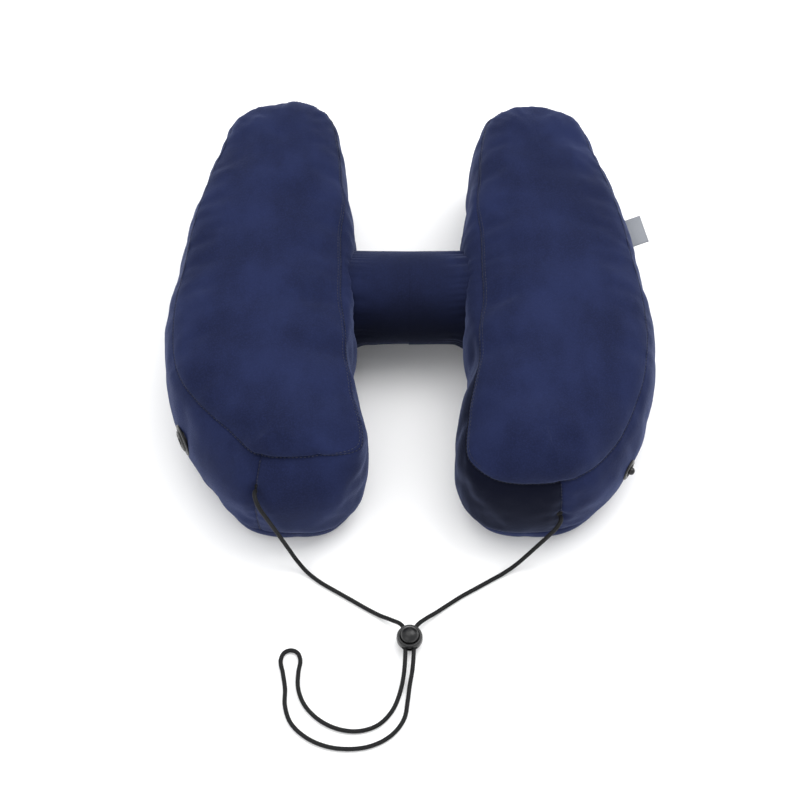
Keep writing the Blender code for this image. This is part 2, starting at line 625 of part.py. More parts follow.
def make_lock():
    at = Matrix.Translation((LOCK_X, LOCK_Y, 0))
    centre_z, rim_z, bore, floor_z = 0.0092, 0.0130, 0.0070, 0.0016
    heights = np.linspace(0, rim_z, 11)
    ball = [(math.sqrt(LOCK_RADIUS ** 2 - (z - centre_z) ** 2), float(z)) for z in heights]
    body = [(0, 0), *ball, (bore, rim_z), (bore, floor_z), (0, floor_z)]
    lock = add_object("cord_lock_body", moved(turned(body, 24), at), black_plastic(),
                      origin=(LOCK_X, LOCK_Y, centre_z))
    foot, shoulder, top, radius = 0.0054, 0.0136, 0.0186, 0.0067
    dome = [(radius * math.cos(a), shoulder + (top - shoulder) * math.sin(a))
            for a in np.linspace(0, math.pi / 2, 7)[:-1]]
    button = add_object("cord_lock_button", moved(turned([(0, foot), (radius, foot), *dome, (0, top)], 24), at),
                        black_plastic(), origin=(LOCK_X, LOCK_Y, shoulder))
    plan = ((-0.0054, -0.012), (0.0054, -0.012), (0.0054, -0.001), (0.0086, 0.012),
            (-0.0086, 0.012), (-0.0054, -0.001))
    cut(lock, add_cutter("cut_lock_passage", moved(upright(plan, 0.0066, 0.0106), at)))
    window = box_body((0.0110, 0.020, 0.0064), (LOCK_X, LOCK_Y, 0.0098))
    cut(button, add_cutter("cut_button_window", window))
    spring_curve("cord_lock_spring", at, 0.0048, 0.0021, 0.0049, 3, 0.0005)


# ---------------------------------------------------------------- the whole pillow
def main():
    for old in list(bpy.data.objects):
        bpy.data.objects.remove(old, do_unlink=True)
    make_wing("left")
    outer_band = make_wing("right")
    make_bridge()
    make_inflation_valve()
    make_release_valve()
    make_zip(outer_band)
    make_label()
    make_lock()
    make_cord("drawcord_left_lead", LEFT_LEAD)
    make_cord("drawcord_right_lead", RIGHT_LEAD)
    make_cord("drawcord_tail", TAIL)


main()
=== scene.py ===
"""Looks of an inflatable travel neck pillow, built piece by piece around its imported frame.

Every length is in metres.  Two velour wings, sewn from four panels each, stand on a pale floor
and are joined by a round bridge.  A braided drawcord runs from wing to wing through a ball lock.
"""

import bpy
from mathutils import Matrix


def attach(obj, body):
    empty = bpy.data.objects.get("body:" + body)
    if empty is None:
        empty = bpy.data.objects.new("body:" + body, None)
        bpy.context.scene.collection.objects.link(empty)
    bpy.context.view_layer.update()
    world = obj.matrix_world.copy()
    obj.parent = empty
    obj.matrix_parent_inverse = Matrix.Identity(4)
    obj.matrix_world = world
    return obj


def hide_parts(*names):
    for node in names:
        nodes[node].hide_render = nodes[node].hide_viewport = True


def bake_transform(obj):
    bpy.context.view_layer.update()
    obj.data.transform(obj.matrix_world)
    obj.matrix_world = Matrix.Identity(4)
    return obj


bl_info = {
    "name": "Travel Neck Pillow",
    "version": (1, 0, 0),
    "blender": (4, 5, 0),
    "location": "View3D > Sidebar > Neck Pillow",
    "description": "Sews, fills and finishes a travel neck pillow around its frame",
    "category": "Add Mesh",
}

import math

import bmesh
import bpy
import numpy as np
from mathutils import Matrix, Vector, noise

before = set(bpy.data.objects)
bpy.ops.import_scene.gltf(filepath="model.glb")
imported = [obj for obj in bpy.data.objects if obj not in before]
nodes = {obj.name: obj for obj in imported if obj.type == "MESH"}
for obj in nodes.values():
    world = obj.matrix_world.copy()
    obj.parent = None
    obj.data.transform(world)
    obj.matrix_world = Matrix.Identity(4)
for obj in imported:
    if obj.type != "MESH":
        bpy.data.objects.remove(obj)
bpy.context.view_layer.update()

# ---------------------------------------------------------------- pattern of the wings
CENTRE_X, CENTRE_Y = -0.0045, -0.006
FRONT_TIP = (0.088, -0.184)
FAR_TIP = (0.103, 0.192)
INNER_SIDE = ((0.052, -0.177), (0.034, -0.155), (0.034, -0.118), (0.045, -0.066), (0.042, -0.026),
              (0.041, 0.016), (0.043, 0.056), (0.050, 0.100), (0.054, 0.140), (0.066, 0.178))
OUTER_FRONT = {"left": ((0.122, -0.178), (0.151, -0.148), (0.172, -0.111), (0.1855, -0.066),
                        (0.1868, -0.026)),
               "right": ((0.122, -0.178), (0.155, -0.150), (0.175, -0.112), (0.1855, -0.066),
                         (0.1868, -0.026))}
OUTER_ARC_CENTRE, OUTER_ARC_RADIUS = (-0.366, -0.030), 0.550
OUTER_ARC_Y = (0.016, 0.056, 0.099, 0.139)
OUTER_FAR = (0.1455, 0.176)
CROWN_FRONT, CROWN_FAR, CROWN_POWER = 0.112, 0.106, 2.6
BASE_FLAT, BASE_POWER = 0.45, 3.3
BOTTOM_SEAM_Z, BOTTOM_SEAM_INSET = 0.017, 0.003
SPINE_FRONT, SPINE_FAR = 2.2, 9.1
SEAM_Z, SEAM_Z_FAR = 0.096, 0.090
SEAM_INSET_INNER, SEAM_INSET_OUTER, SEAM_INSET_BRIDGE = {"left": 0.001, "right": 0.005}, 0.006, 0.010
FRONT_SEAM = {"left": (0.022, 0.096), "right": (0.008, 0.080)}
TURN = {"left": 0.0, "right": 1.0}
FAR_REACH = {"left": 0.004, "right": 0.0}
STATIONS = 22
FRONT_JOIN = {"left": 21.28, "right": 21.42}
FAR_JOIN = 11.0

BRIDGE_Y, BRIDGE_Z, BRIDGE_RADIUS, HINGE_X = 0.016, 0.053, 0.0366, 0.041
BRIDGE_HOLE = 0.0331
BRIDGE_CENTRE = Vector((CENTRE_X, CENTRE_Y + BRIDGE_Y, BRIDGE_Z))
VALVE = {"left": (19.10, 0.048), "right": (19.75, 0.045)}
VALVE_HOLE = {"left": 0.0112, "right": 0.0070}
CORD_HOLE = {"left": (21.28, 0.076), "right": (21.42, 0.046)}
ZIP_Z, ZIP_HALF = 0.056, 0.0065
ZIP_START, ZIP_END, SLIDER_ANGLE = (math.radians(a) for a in (6.87, 18.22, 7.92))
LABEL_ANGLE, LABEL_Z, LABEL_TILT = math.radians(10.25), 0.0648, math.radians(17)
LABEL_LENGTH, LABEL_WIDTH, LABEL_THICK, LABEL_PLY = 0.027, 0.0155, 0.0008, 0.00028

# The drawcord's route: two leads from the wings to the lock, and the doubled tail beyond it.
LEFT_LEAD = ((-0.1160, -0.1816, 0.0753), (-0.1167, -0.1858, 0.0768), (-0.1156, -0.1906, 0.0763),
             (-0.1130, -0.1948, 0.0718), (-0.1088, -0.1971, 0.0626), (-0.1041, -0.1982, 0.0500),
             (-0.0993, -0.1991, 0.0362), (-0.0940, -0.2006, 0.0218), (-0.0878, -0.2042, 0.0094),
             (-0.0806, -0.2100, 0.0031), (-0.0715, -0.2172, 0.0020), (-0.0595, -0.2250, 0.0020),
             (-0.0475, -0.2325, 0.0020), (-0.0365, -0.2395, 0.0020), (-0.0265, -0.2455, 0.0026),
             (-0.0175, -0.2510, 0.0058), (-0.0105, -0.2560, 0.0083), (-0.0077, -0.2610, 0.0086),
             (-0.0075, -0.2650, 0.0086))
RIGHT_LEAD = ((0.1068, -0.1853, 0.0460), (0.1069, -0.1898, 0.0462), (0.1040, -0.1944, 0.0443),
              (0.0985, -0.1972, 0.0370), (0.0912, -0.1993, 0.0262), (0.0830, -0.2020, 0.0150),
              (0.0748, -0.2056, 0.0066), (0.0655, -0.2106, 0.0027), (0.0560, -0.2161, 0.0020),
              (0.0455, -0.2225, 0.0020), (0.0340, -0.2295, 0.0020), (0.0240, -0.2365, 0.0020),
              (0.0155, -0.2430, 0.0028), (0.0080, -0.2495, 0.0060), (0.0015, -0.2560, 0.0083),
              (-0.0013, -0.2610, 0.0086), (-0.0015, -0.2650, 0.0086))
TAIL = ((-0.0075, -0.2660, 0.0086), (-0.0076, -0.2780, 0.0086), (-0.0080, -0.2870, 0.0079),
        (-0.0092, -0.2975, 0.0050), (-0.0120, -0.3090, 0.0022), (-0.0175, -0.3220, 0.0020),
        (-0.0275, -0.3325, 0.0020), (-0.0415, -0.3370, 0.0020), (-0.0565, -0.3350, 0.0020),
        (-0.0715, -0.3265, 0.0020), (-0.0810, -0.3150, 0.0020), (-0.0850, -0.3030, 0.0020),
        (-0.0851, -0.2910, 0.0020), (-0.0841, -0.2805, 0.0020), (-0.0862, -0.2756, 0.0020),
        (-0.0911, -0.2735, 0.0020), (-0.0960, -0.2756, 0.0020), (-0.0981, -0.2805, 0.0020),
        (-0.0963, -0.2920, 0.0020), (-0.0943, -0.3040, 0.0020), (-0.0940, -0.3170, 0.0020),
        (-0.0895, -0.3305, 0.0020), (-0.0785, -0.3415, 0.0020), (-0.0635, -0.3485, 0.0020),
        (-0.0475, -0.3505, 0.0020), (-0.0315, -0.3480, 0.0020), (-0.0175, -0.3400, 0.0020),
        (-0.0085, -0.3275, 0.0020), (-0.0060, -0.3140, 0.0020), (-0.0046, -0.3030, 0.0036),
        (-0.0026, -0.2920, 0.0068), (-0.0016, -0.2800, 0.0086), (-0.0015, -0.2660, 0.0086))
LOCK = Vector((CENTRE_X, -0.267, 0))


# ---------------------------------------------------------------- sizes and colours to change
def length(name, description, default):
    return bpy.props.FloatProperty(name=name, description=description, default=default,
                                   min=0.0, precision=5, subtype="DISTANCE", unit="LENGTH")


def colour(name, description, default):
    return bpy.props.FloatVectorProperty(name=name, description=description, default=default,
                                         size=3, min=0.0, max=1.0, subtype="COLOR")


class PillowSizes(bpy.types.PropertyGroup):
    seam_valley: length("Seam valley", "How deep a seam draws the velour in", 0.0010)
    seam_roll: length("Seam roll", "How far the filling rolls off towards a seam", 0.0011)
    far_gather: length("Far gathers", "Height of the puckers round the far ends", 0.0008)
    side_gather: length("Side gathers", "Height of the puckers along the sides", 0.00022)
    stitch_pitch: length("Stitch pitch", "Distance from one stitch to the next", 0.0029)
    cloth: length("Velour", "Thickness of the velour", 0.0011)
    braid_relief: length("Braid relief", "How far the cord's strands stand out", 0.00016)
    tooth_pitch: length("Tooth pitch", "Distance between two turns of the zip's coil", 0.0015)
    cord: length("Cord", "Diameter of the drawcord", 0.0032)


class PillowColours(bpy.types.PropertyGroup):
    velour: colour("Velour", "Pile seen straight on", (0.0058, 0.0088, 0.0320))
    nap: colour("Brushed nap", "Pile brushed towards the light", (0.0118, 0.0170, 0.0550))
    thread: colour("Thread", "Sewing thread", (0.0050, 0.0068, 0.0200))
    tape: colour("Zip tape", "Woven zip tape", (0.010, 0.014, 0.040))
    label: colour("Label", "Blank woven label", (0.32, 0.335, 0.365))
    braid: colour("Cord", "Braided drawcord", (0.0030, 0.0030, 0.0034))
    plastic: colour("Plastic", "Moulded lock, slider and valve caps", (0.0040, 0.0040, 0.0044))
    vinyl: colour("Vinyl", "Soft valve sockets", (0.045, 0.046, 0.050))
    film: colour("Film", "Air chambers", (0.42, 0.44, 0.48))
    floor: colour("Floor", "Pale floor", (0.97, 0.965, 0.96))


# ---------------------------------------------------------------- shader writing
class Wire:
    """A shader value; arithmetic on it adds the Math nodes."""

    def __init__(self, finish, socket):
        self.finish, self.socket = finish, socket

    def maths(self, operation, *values):
        return self.finish.node("ShaderNodeMath", {"operation": operation}, *values)

    def __add__(self, other):
        return self.maths("ADD", self, other)

    def __sub__(self, other):
        return self.maths("SUBTRACT", self, other)

    def __rsub__(self, other):
        return self.maths("SUBTRACT", other, self)

    def __mul__(self, other):
        return self.maths("MULTIPLY", self, other)

    __radd__, __rmul__ = __add__, __mul__

    def wave(self):
        return self.maths("SINE", self)

    def size(self):
        return self.maths("ABSOLUTE", self)

    def larger(self, other):
        return self.maths("MAXIMUM", self, other)

    def band(self, low, high):
        """0 below low, 1 above high, smooth between."""
        settings = {"interpolation_type": "SMOOTHSTEP"}
        return self.finish.node("ShaderNodeMapRange", settings, self, low, high)


class Finish:
    """A material under construction."""

    def __init__(self, name, **constants):
        self.material = bpy.data.materials.new(name)
        self.material.use_nodes = True
        self.tree = self.material.node_tree
        self.shader = self.tree.nodes["Principled BSDF"]
        self.set(**constants)

    def node(self, kind, settings, *values, output=0, **named):
        """A node of that kind, its settings made first; values fill its sockets in order or by name."""
        made = self.tree.nodes.new(kind)
        for key, value in settings.items():
            setattr(made, key, value)
        for key, value in [*enumerate(values), *named.items()]:
            socket = made.inputs[key.replace("_", " ") if isinstance(key, str) else key]
            if isinstance(value, Wire):
                self.tree.links.new(value.socket, socket)
            elif value is not None:
                socket.default_value = value
        return Wire(self, made.outputs[output])

    def set(self, **inputs):
        """Constants or wires for the Principled shader, such as Base_Color."""
        for key, value in inputs.items():
            socket = self.shader.inputs[key.replace("_", " ")]
            if isinstance(value, Wire):
                self.tree.links.new(value.socket, socket)
            else:
                socket.default_value = (*value, 1.0) if isinstance(value, (tuple, list)) else value

    def place(self, *scale):
        """Object coordinates, stretched by scale."""
        at = self.node("ShaderNodeTexCoord", {}, output="Object")
        return self.node("ShaderNodeMapping", {}, at, None, None, scale) if scale else at

    def noise(self, scale, detail=3.0, at=None, roughness=0.5):
        at = at or self.place()
        return self.node("ShaderNodeTexNoise", {}, at, Scale=scale, Detail=detail, Roughness=roughness)

    def attribute(self, name):
        return self.node("ShaderNodeAttribute", {"attribute_name": name}, output="Fac")

    def uv(self):
        """The piece's own map, as two values."""
        at = self.node("ShaderNodeUVMap", {"uv_map": "UVMap"})
        return [self.node("ShaderNodeSeparateXYZ", {}, at, output=k) for k in (0, 1)]

    def mix(self, share, first, second):
        made = self.tree.nodes.new("ShaderNodeMix")
        made.data_type = "RGBA"
        for key, value in ((0, share), (6, first), (7, second)):
            if isinstance(value, Wire):
                self.tree.links.new(value.socket, made.inputs[key])
            else:
                made.inputs[key].default_value = value if key == 0 else (*value, 1.0)
        return Wire(self, made.outputs[2])

    def bump(self, height, distance, strength=1.0):
        self.set(Normal=self.node("ShaderNodeBump", {}, strength, distance, Height=height))


def tinted(base, factor):
    """A colour made lighter or darker."""
    return tuple(min(1.0, part * factor) for part in base)


def velour_finish(colours):
    """Short brushed pile: cloudy nap, fine fibre ends, painted shade in the seams, under the bridge and on
    the right wing's inner front, with a cloth sheen.
    """
    made = Finish("navy velour", Sheen_Weight=0.26, Sheen_Roughness=0.38,
                  Sheen_Tint=(0.34, 0.41, 0.74), Specular_IOR_Level=0.10)
    cloud = made.noise(17.0, 4.0, roughness=0.55)
    stroke = made.noise(42.0, 3.0, made.place(1.0, 0.42, 0.8))
    fleck = made.noise(900.0, 2.0)
    nap = (cloud * 0.62 + stroke * 0.38).band(0.36, 0.66)
    seam = made.attribute("seam")
    base = made.mix(nap, tuple(colours.velour), tuple(colours.nap))
    base = made.mix((fleck - 0.42).larger(0.0) * 0.8, base, tinted(colours.nap, 1.7))
    # Painted shade: darker navy under the bridge and along the right wing's inner front.
    base = made.mix(made.attribute("painted_shade"), base, (0.0011, 0.0019, 0.0080))
    # Painted shade in the seam valleys and where the wings and the sleeve meet round the bridge.
    made.set(Base_Color=made.mix(seam * 0.30, base, tinted(colours.velour, 0.45)))
    made.set(Roughness=0.80 + nap * 0.10 + fleck * 0.06)
    pile = made.noise(2600.0, 2.0) * 0.5 + made.noise(520.0, 3.0) * 0.5
    made.bump(pile + nap * 0.35, 0.00055, 0.55)
    return made.material


def weave(made, across, along, pitch):
    """Height of a plain weave over two distances in metres."""
    turns = 2 * math.pi / pitch
    over = (across * turns).wave() * (along * turns * 0.5).wave()
    under = (along * turns).wave() * (across * turns * 0.5).wave()
    return over.size() * 0.5 + under.size() * 0.5


def tape_finish(colours):
    made = Finish("woven zip tape", Sheen_Weight=0.12, Sheen_Roughness=0.5, Specular_IOR_Level=0.25)
    along, across = made.uv()
    ribs = weave(made, across, along, 0.0009)
    shade = made.noise(160.0, 2.0)
    made.set(Base_Color=made.mix(ribs * 0.7, tinted(colours.tape, 0.55), tinted(colours.tape, 1.6)))
    made.set(Roughness=0.74 + shade * 0.18)
    made.bump(ribs, 0.00018, 0.9)
    return made.material


def label_finish(colours):
    """A blank woven label: fine cross ribs, a slightly darker selvedge and soft grime."""
    made = Finish("blank woven label", Sheen_Weight=0.10, Sheen_Roughness=0.4, Specular_IOR_Level=0.35)
    along, across = made.uv()
    threads = weave(made, along, across, 0.00060)
    selvedge = ((across - LABEL_WIDTH / 2).size() * (2 / LABEL_WIDTH)).band(0.86, 0.92)
    grime = made.noise(140.0, 3.0).band(0.45, 0.75)
    base = made.mix(threads * 0.55, tinted(colours.label, 0.72), tinted(colours.label, 1.18))
    base = made.mix(selvedge * 0.35, base, tinted(colours.label, 0.62))
    made.set(Base_Color=made.mix(grime * 0.20, base, tinted(colours.label, 0.70)))
    made.set(Roughness=0.52 + threads * 0.20)
    made.bump(threads + selvedge * 0.8, 0.00014, 0.8)
    return made.material


def braid_finish(colours):
    """Polyester braid: a painted highlight along each strand's crown and painted shade between the strands.
    """
    made = Finish("black round braid", Sheen_Weight=0.03, Sheen_Roughness=0.35, Specular_IOR_Level=0.22)
    crown = made.attribute("crown")
    fibres = made.noise(3200.0, 2.0)
    # Painted highlight on the strand crowns, painted shade in the grooves between them.
    made.set(Base_Color=made.mix(crown * 0.8 + fibres * 0.2, tinted(colours.braid, 0.45),
                                 tinted(colours.braid, 2.1)))
    made.set(Roughness=0.78 - crown * 0.26 + fibres * 0.08)
    made.bump(fibres + crown * 0.4, 0.00009, 0.8)
    return made.material


def plastic_finish(colours):
    """Satin moulded plastic: fine spark texture, faint flow clouds and rubbed high spots."""
    made = Finish("satin black plastic", Coat_Weight=0.10, Coat_Roughness=0.22, Specular_IOR_Level=0.34)
    grain = made.noise(2100.0, 2.0)
    flow = made.noise(150.0, 3.0)
    rub = made.noise(420.0, 4.0).band(0.56, 0.72)
    made.set(Base_Color=made.mix(rub * 0.30 + flow * 0.25, tuple(colours.plastic),
                                 tinted(colours.plastic, 2.6)))
    made.set(Roughness=0.27 + flow * 0.12 + rub * 0.16)
    made.bump(grain + flow * 0.5, 0.00006, 0.45)
    return made.material


def vinyl_finish(colours):
    made = Finish("soft valve vinyl", Coat_Weight=0.10, Specular_IOR_Level=0.5)
    cloud = made.noise(240.0, 3.0)
    made.set(Base_Color=made.mix(cloud, tinted(colours.vinyl, 0.7), tinted(colours.vinyl, 1.3)))
    made.set(Roughness=0.30 + cloud * 0.22)
    made.bump(made.noise(1400.0, 2.0), 0.00008, 0.5)
    return made.material


def film_finish(colours):
    """Flocked vinyl film with a leathery emboss."""
    made = Finish("embossed chamber film", Specular_IOR_Level=0.5)
    emboss = made.node("ShaderNodeTexVoronoi", {"feature": "SMOOTH_F1"}, made.place(), Scale=700.0)
    cloud = made.noise(30.0, 3.0)
    made.set(Base_Color=made.mix(cloud, tinted(colours.film, 0.82), tinted(colours.film, 1.1)))
    made.set(Roughness=0.34 + emboss * 0.18)
    made.bump(emboss, 0.00010, 0.6)
    return made.material


def steel_finish(colours):
    made = Finish("drawn spring steel", Metallic=1.0)
    streak = made.noise(900.0, 2.0, made.place(1.0, 1.0, 0.15))
    made.set(Base_Color=made.mix(streak, (0.42, 0.42, 0.43), (0.66, 0.66, 0.67)))
    made.set(Roughness=0.24 + streak * 0.18)
    return made.material


def thread_finish(colours):
    made = Finish("sewing thread", Sheen_Weight=0.2, Sheen_Roughness=0.4)
    twist = made.noise(2400.0, 2.0)
    made.set(Base_Color=made.mix(twist, tinted(colours.thread, 0.6), tinted(colours.thread, 1.8)))
    made.set(Roughness=0.62 + twist * 0.18)
    return made.material


def floor_finish(colours):
    made = Finish("pale floor", Specular_IOR_Level=0.1)
    tone = made.noise(1.3, 2.0)
    made.set(Base_Color=made.mix(tone, tinted(colours.floor, 0.995), tuple(colours.floor)))
    made.set(Roughness=0.88 + tone * 0.06)
    return made.material


FINISHES = {"velour": velour_finish, "tape": tape_finish, "label": label_finish, "braid": braid_finish,
            "plastic": plastic_finish, "vinyl": vinyl_finish, "film": film_finish,
            "steel": steel_finish, "thread": thread_finish, "floor": floor_finish}
made_finishes = {}


def finish(name):
    """The named material, made the first time that it is asked for."""
    if name not in made_finishes:
        made_finishes[name] = FINISHES[name](bpy.context.scene.pillow_colours)
    return made_finishes[name]


# ---------------------------------------------------------------- curves and surfaces
def smoothstep(low, high, value):
    k = np.clip((value - low) / (high - low), 0, 1)
    return k * k * (3 - 2 * k)


def hermite(points, t, closed):
    """Smooth curve through the points, read at the station numbers t."""
    points = np.asarray(points, float)
    count = len(points)
    if closed:
        before, after = np.roll(points, 1, axis=0), np.roll(points, -1, axis=0)
    else:
        before = np.vstack([2 * points[:1] - points[1:2], points[:-1]])
        after = np.vstack([points[1:], 2 * points[-1:] - points[-2:-1]])
    back = np.linalg.norm(points - before, axis=1, keepdims=True)
    ahead = np.linalg.norm(after - points, axis=1, keepdims=True)
    slope = ((points - before) / back * ahead + (after - points) / ahead * back) / (back + ahead)
    t = np.asarray(t, float)
    first = np.floor(t).astype(int)
    if not closed:
        first = np.clip(first, 0, count - 2)
    u = (t - first)[:, None]
    i, j = first % count, (first + 1) % count
    span = ahead[i]
    return ((2 * u ** 3 - 3 * u ** 2 + 1) * points[i] + (u ** 3 - 2 * u ** 2 + u) * slope[i] * span
            + (3 * u ** 2 - 2 * u ** 3) * points[j] + (u ** 3 - u ** 2) * slope[j] * span)


def wing_stations(side):
    """A wing's widest outline as if it lay on the right: front tip, inner side, far tip, outer side."""
    cx, cy = OUTER_ARC_CENTRE
    arc = [(cx + math.sqrt(OUTER_ARC_RADIUS ** 2 - (y - cy) ** 2), y) for y in OUTER_ARC_Y]
    return np.array([FRONT_TIP, *INNER_SIDE, FAR_TIP, *reversed([*OUTER_FRONT[side], *arc, OUTER_FAR])])


def wing_frame(side, t):
    """Widest outline, outward normal, middle line and seam data at the station numbers t."""
    stations, t = wing_stations(side), np.asarray(t, float)
    edge = hermite(stations, t, True)
    ahead = hermite(stations, t + 0.02, True) - hermite(stations, t - 0.02, True)
    ahead /= np.linalg.norm(ahead, axis=1, keepdims=True)
    normal = np.stack([-ahead[:, 1], ahead[:, 0]], 1)
    folded = np.abs((t + STATIONS / 2) % STATIONS - STATIONS / 2)
    along = SPINE_FRONT + (SPINE_FAR - SPINE_FRONT) * smoothstep(0, STATIONS / 2, folded)
    spine = (hermite(stations, along, True) + hermite(stations, -along, True)) / 2
    x, y = edge.T
    inner = 1 - smoothstep(0.085, 0.115, x)
    front, far = smoothstep(0.080, 0.165, -y), smoothstep(0.080, 0.180, y)
    near_bridge = np.exp(-((y - BRIDGE_Y) / 0.055) ** 4)
    front_inset, front_z = FRONT_SEAM[side]
    toe = inner * smoothstep(0.080, 0.130, -y) * (1 - smoothstep(0.150, 0.182, -y))
    inset = SEAM_INSET_OUTER + (SEAM_INSET_INNER[side] - SEAM_INSET_OUTER) * inner
    inset = inset + SEAM_INSET_BRIDGE * inner * near_bridge
    inset = inset + (front_inset - inset) * front * (1 - toe)
    seam_z = SEAM_Z + (front_z - SEAM_Z) * front + (SEAM_Z_FAR - SEAM_Z) * far
    crown = CROWN_FRONT + (CROWN_FAR - CROWN_FRONT) * folded / (STATIONS / 2)
    lean = 2 + 4 * inner * near_bridge
    return edge, normal, spine, inset, seam_z, crown, lean


def place_wing(side, points):
    """Carry points of the right-hand pattern to where a wing lies."""
    points = np.array(points, float)
    turn = math.radians(TURN[side])
    x, y = points[..., 0] - HINGE_X, points[..., 1] - BRIDGE_Y
    points[..., 0] = HINGE_X + x * math.cos(turn) - y * math.sin(turn)
    points[..., 1] = BRIDGE_Y + x * math.sin(turn) + y * math.cos(turn)
    points[..., 1] += FAR_REACH[side] * smoothstep(0.08, 0.19, points[..., 1])
    if side == "left":
        points[..., 0] *= -1
    return points + np.array([CENTRE_X, CENTRE_Y, 0])


def wing_grid(side, t, heights):
    """Rows x columns of points over a wing: heights 0 to 1 are its base, to 2 its side, to 3 its top."""
    edge, normal, spine, inset, seam_z, crown, lean = wing_frame(side, t)
    grid = []
    for height in heights:
        if height <= 1:
            curl = max(0.0, (height - BASE_FLAT) / (1 - BASE_FLAT)) ** BASE_POWER
            plan = spine + (edge - normal * BOTTOM_SEAM_INSET - spine) * height
            z = np.full(len(t), BOTTOM_SEAM_Z * curl)
        elif height <= 2:
            z = BOTTOM_SEAM_Z + (seam_z - BOTTOM_SEAM_Z) * (height - 1)
            upper, lower = max(0.0, 2 * height - 3), max(0.0, 3 - 2 * height)
            plan = edge - normal * (inset * upper ** lean + BOTTOM_SEAM_INSET * lower ** 2)[:, None]
        else:
            share = 3 - height
            plan = spine + (edge - normal * inset[:, None] - spine) * share
            z = seam_z + (crown - seam_z) * (1 - share ** CROWN_POWER)
        grid.append(np.column_stack([plan, z]))
    return place_wing(side, grid)


def wall_matrix(side, station, z):
    """A frame on a wing's side: origin on the cover's face, Z outward, X along the side."""
    def at(t, height):
        return wing_grid(side, [t], [height])[0, 0]
    seam_z = wing_frame(side, [station])[4][0]
    height = 1 + (z - BOTTOM_SEAM_Z) / (seam_z - BOTTOM_SEAM_Z)
    up = Vector(at(station, height + 0.01) - at(station, height - 0.01)).normalized()
    along = Vector(at(station + 0.01, height) - at(station - 0.01, height))
    outward = up.cross(along) * (1 if side == "right" else -1)
    outward.normalize()
    along = up.cross(outward)
    turn = Matrix((along, up, outward)).transposed().to_4x4()
    return Matrix.Translation(Vector(at(station, height))) @ turn


# ---------------------------------------------------------------- making and finishing pieces
def new_piece(name, mesh, *finishes):
    """An object in the scene with its materials, shaded smooth."""
    for each in finishes:
        mesh.materials.append(finish(each))
    mesh.shade_smooth()
    made = bpy.data.objects.new(name, mesh)
    bpy.context.scene.collection.objects.link(made)
    return made


def mesh_of(name, bm):
    mesh = bpy.data.meshes.new(name)
    bm.to_mesh(mesh)
    bm.free()
    return mesh


def settle(piece):
    """Make the piece's modifiers part of its mesh."""
    evaluated = piece.evaluated_get(bpy.context.evaluated_depsgraph_get())
    mesh = bpy.data.meshes.new_from_object(evaluated)
    piece.modifiers.clear()
    piece.data = mesh
    return piece


def grid_mesh(name, grid, closed_round=False, flipped=False):
    """Quads over rows x columns of points."""
    rows, columns = grid.shape[:2]
    bm = bmesh.new()
    made = [[bm.verts.new(point) for point in row] for row in grid]
    for low, high in zip(made, made[1:]):
        for i in range(columns if closed_round else columns - 1):
            j = (i + 1) % columns
            corners = (low[i], high[i], high[j], low[j])
            bm.faces.new(corners[::-1] if flipped else corners)
    return mesh_of(name, bm)


def lathe(name, matrix, profile, segments=72):
    """A closed body turned about the Z axis of matrix from (radius, height) points."""
    bm = bmesh.new()
    rings = []
    for k in range(segments):
        a = 2 * math.pi * k / segments
        rings.append([bm.verts.new(matrix @ Vector((r * math.cos(a), r * math.sin(a), z)))
                      for r, z in profile])
    for k in range(segments):
        here, ahead = rings[k], rings[(k + 1) % segments]
        for i in range(len(profile)):
            j = (i + 1) % len(profile)
            if profile[i][0] > 0 or profile[j][0] > 0:
                bm.faces.new((here[i], here[j], ahead[j], ahead[i]))
    bmesh.ops.remove_doubles(bm, verts=bm.verts, dist=1e-7)
    bmesh.ops.recalc_face_normals(bm, faces=bm.faces)
    return mesh_of(name, bm)


def rounded(profile, radius=0.0004, steps=3):
    """The closed (radius, height) outline with its corners away from the axis rounded."""
    made = []
    for k, here in enumerate(profile):
        here = Vector(here)
        back, ahead = Vector(profile[k - 1]) - here, Vector(profile[(k + 1) % len(profile)]) - here
        reach = min(radius, 0.45 * back.length, 0.45 * ahead.length)
        if here.x <= 0 or back.angle(ahead) > math.radians(165):
            made.append(tuple(here))
            continue
        start, end = here + back.normalized() * reach, here + ahead.normalized() * reach
        for step in range(steps + 1):
            u = step / steps
            made.append(tuple(start * (1 - u) ** 2 + here * 2 * u * (1 - u) + end * u ** 2))
    return made


def box_mesh(name, matrix, size, centre, bevel=0.0):
    bm = bmesh.new()
    bmesh.ops.create_cube(bm, size=1)
    bmesh.ops.scale(bm, vec=size, verts=bm.verts)
    bmesh.ops.translate(bm, vec=centre, verts=bm.verts)
    if bevel:
        bmesh.ops.bevel(bm, geom=bm.edges, offset=bevel, segments=3, profile=0.5, affect="EDGES")
    bmesh.ops.transform(bm, matrix=matrix, verts=bm.verts)
    return mesh_of(name, bm)


def carve(piece, *cutters):
    """Cut each (mesh, operation) out of the piece, or join it on."""
    spare = []
    for mesh, operation in cutters:
        tool = bpy.data.objects.new("tool", mesh)
        bpy.context.scene.collection.objects.link(tool)
        step = piece.modifiers.new("carve", "BOOLEAN")
        step.operation, step.object = operation, tool
        spare.append(tool)
    settle(piece)
    for tool in spare:
        bpy.data.objects.remove(tool)
    piece.data.set_sharp_from_angle(angle=math.radians(40))
    return piece


def thickened(piece, thickness):
    """Give a sheet its thickness, inwards from its face."""
    shell = piece.modifiers.new("cloth", "SOLIDIFY")
    shell.thickness, shell.offset = thickness, -1.0
    return settle(piece)


def hand_over(piece, body, slot, *replaced):
    """Let the piece ride on its body and stand for its frame nodes, which are hidden; slot is not used."""
    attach(piece, body)
    if replaced:
        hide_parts(*replaced)
    return piece


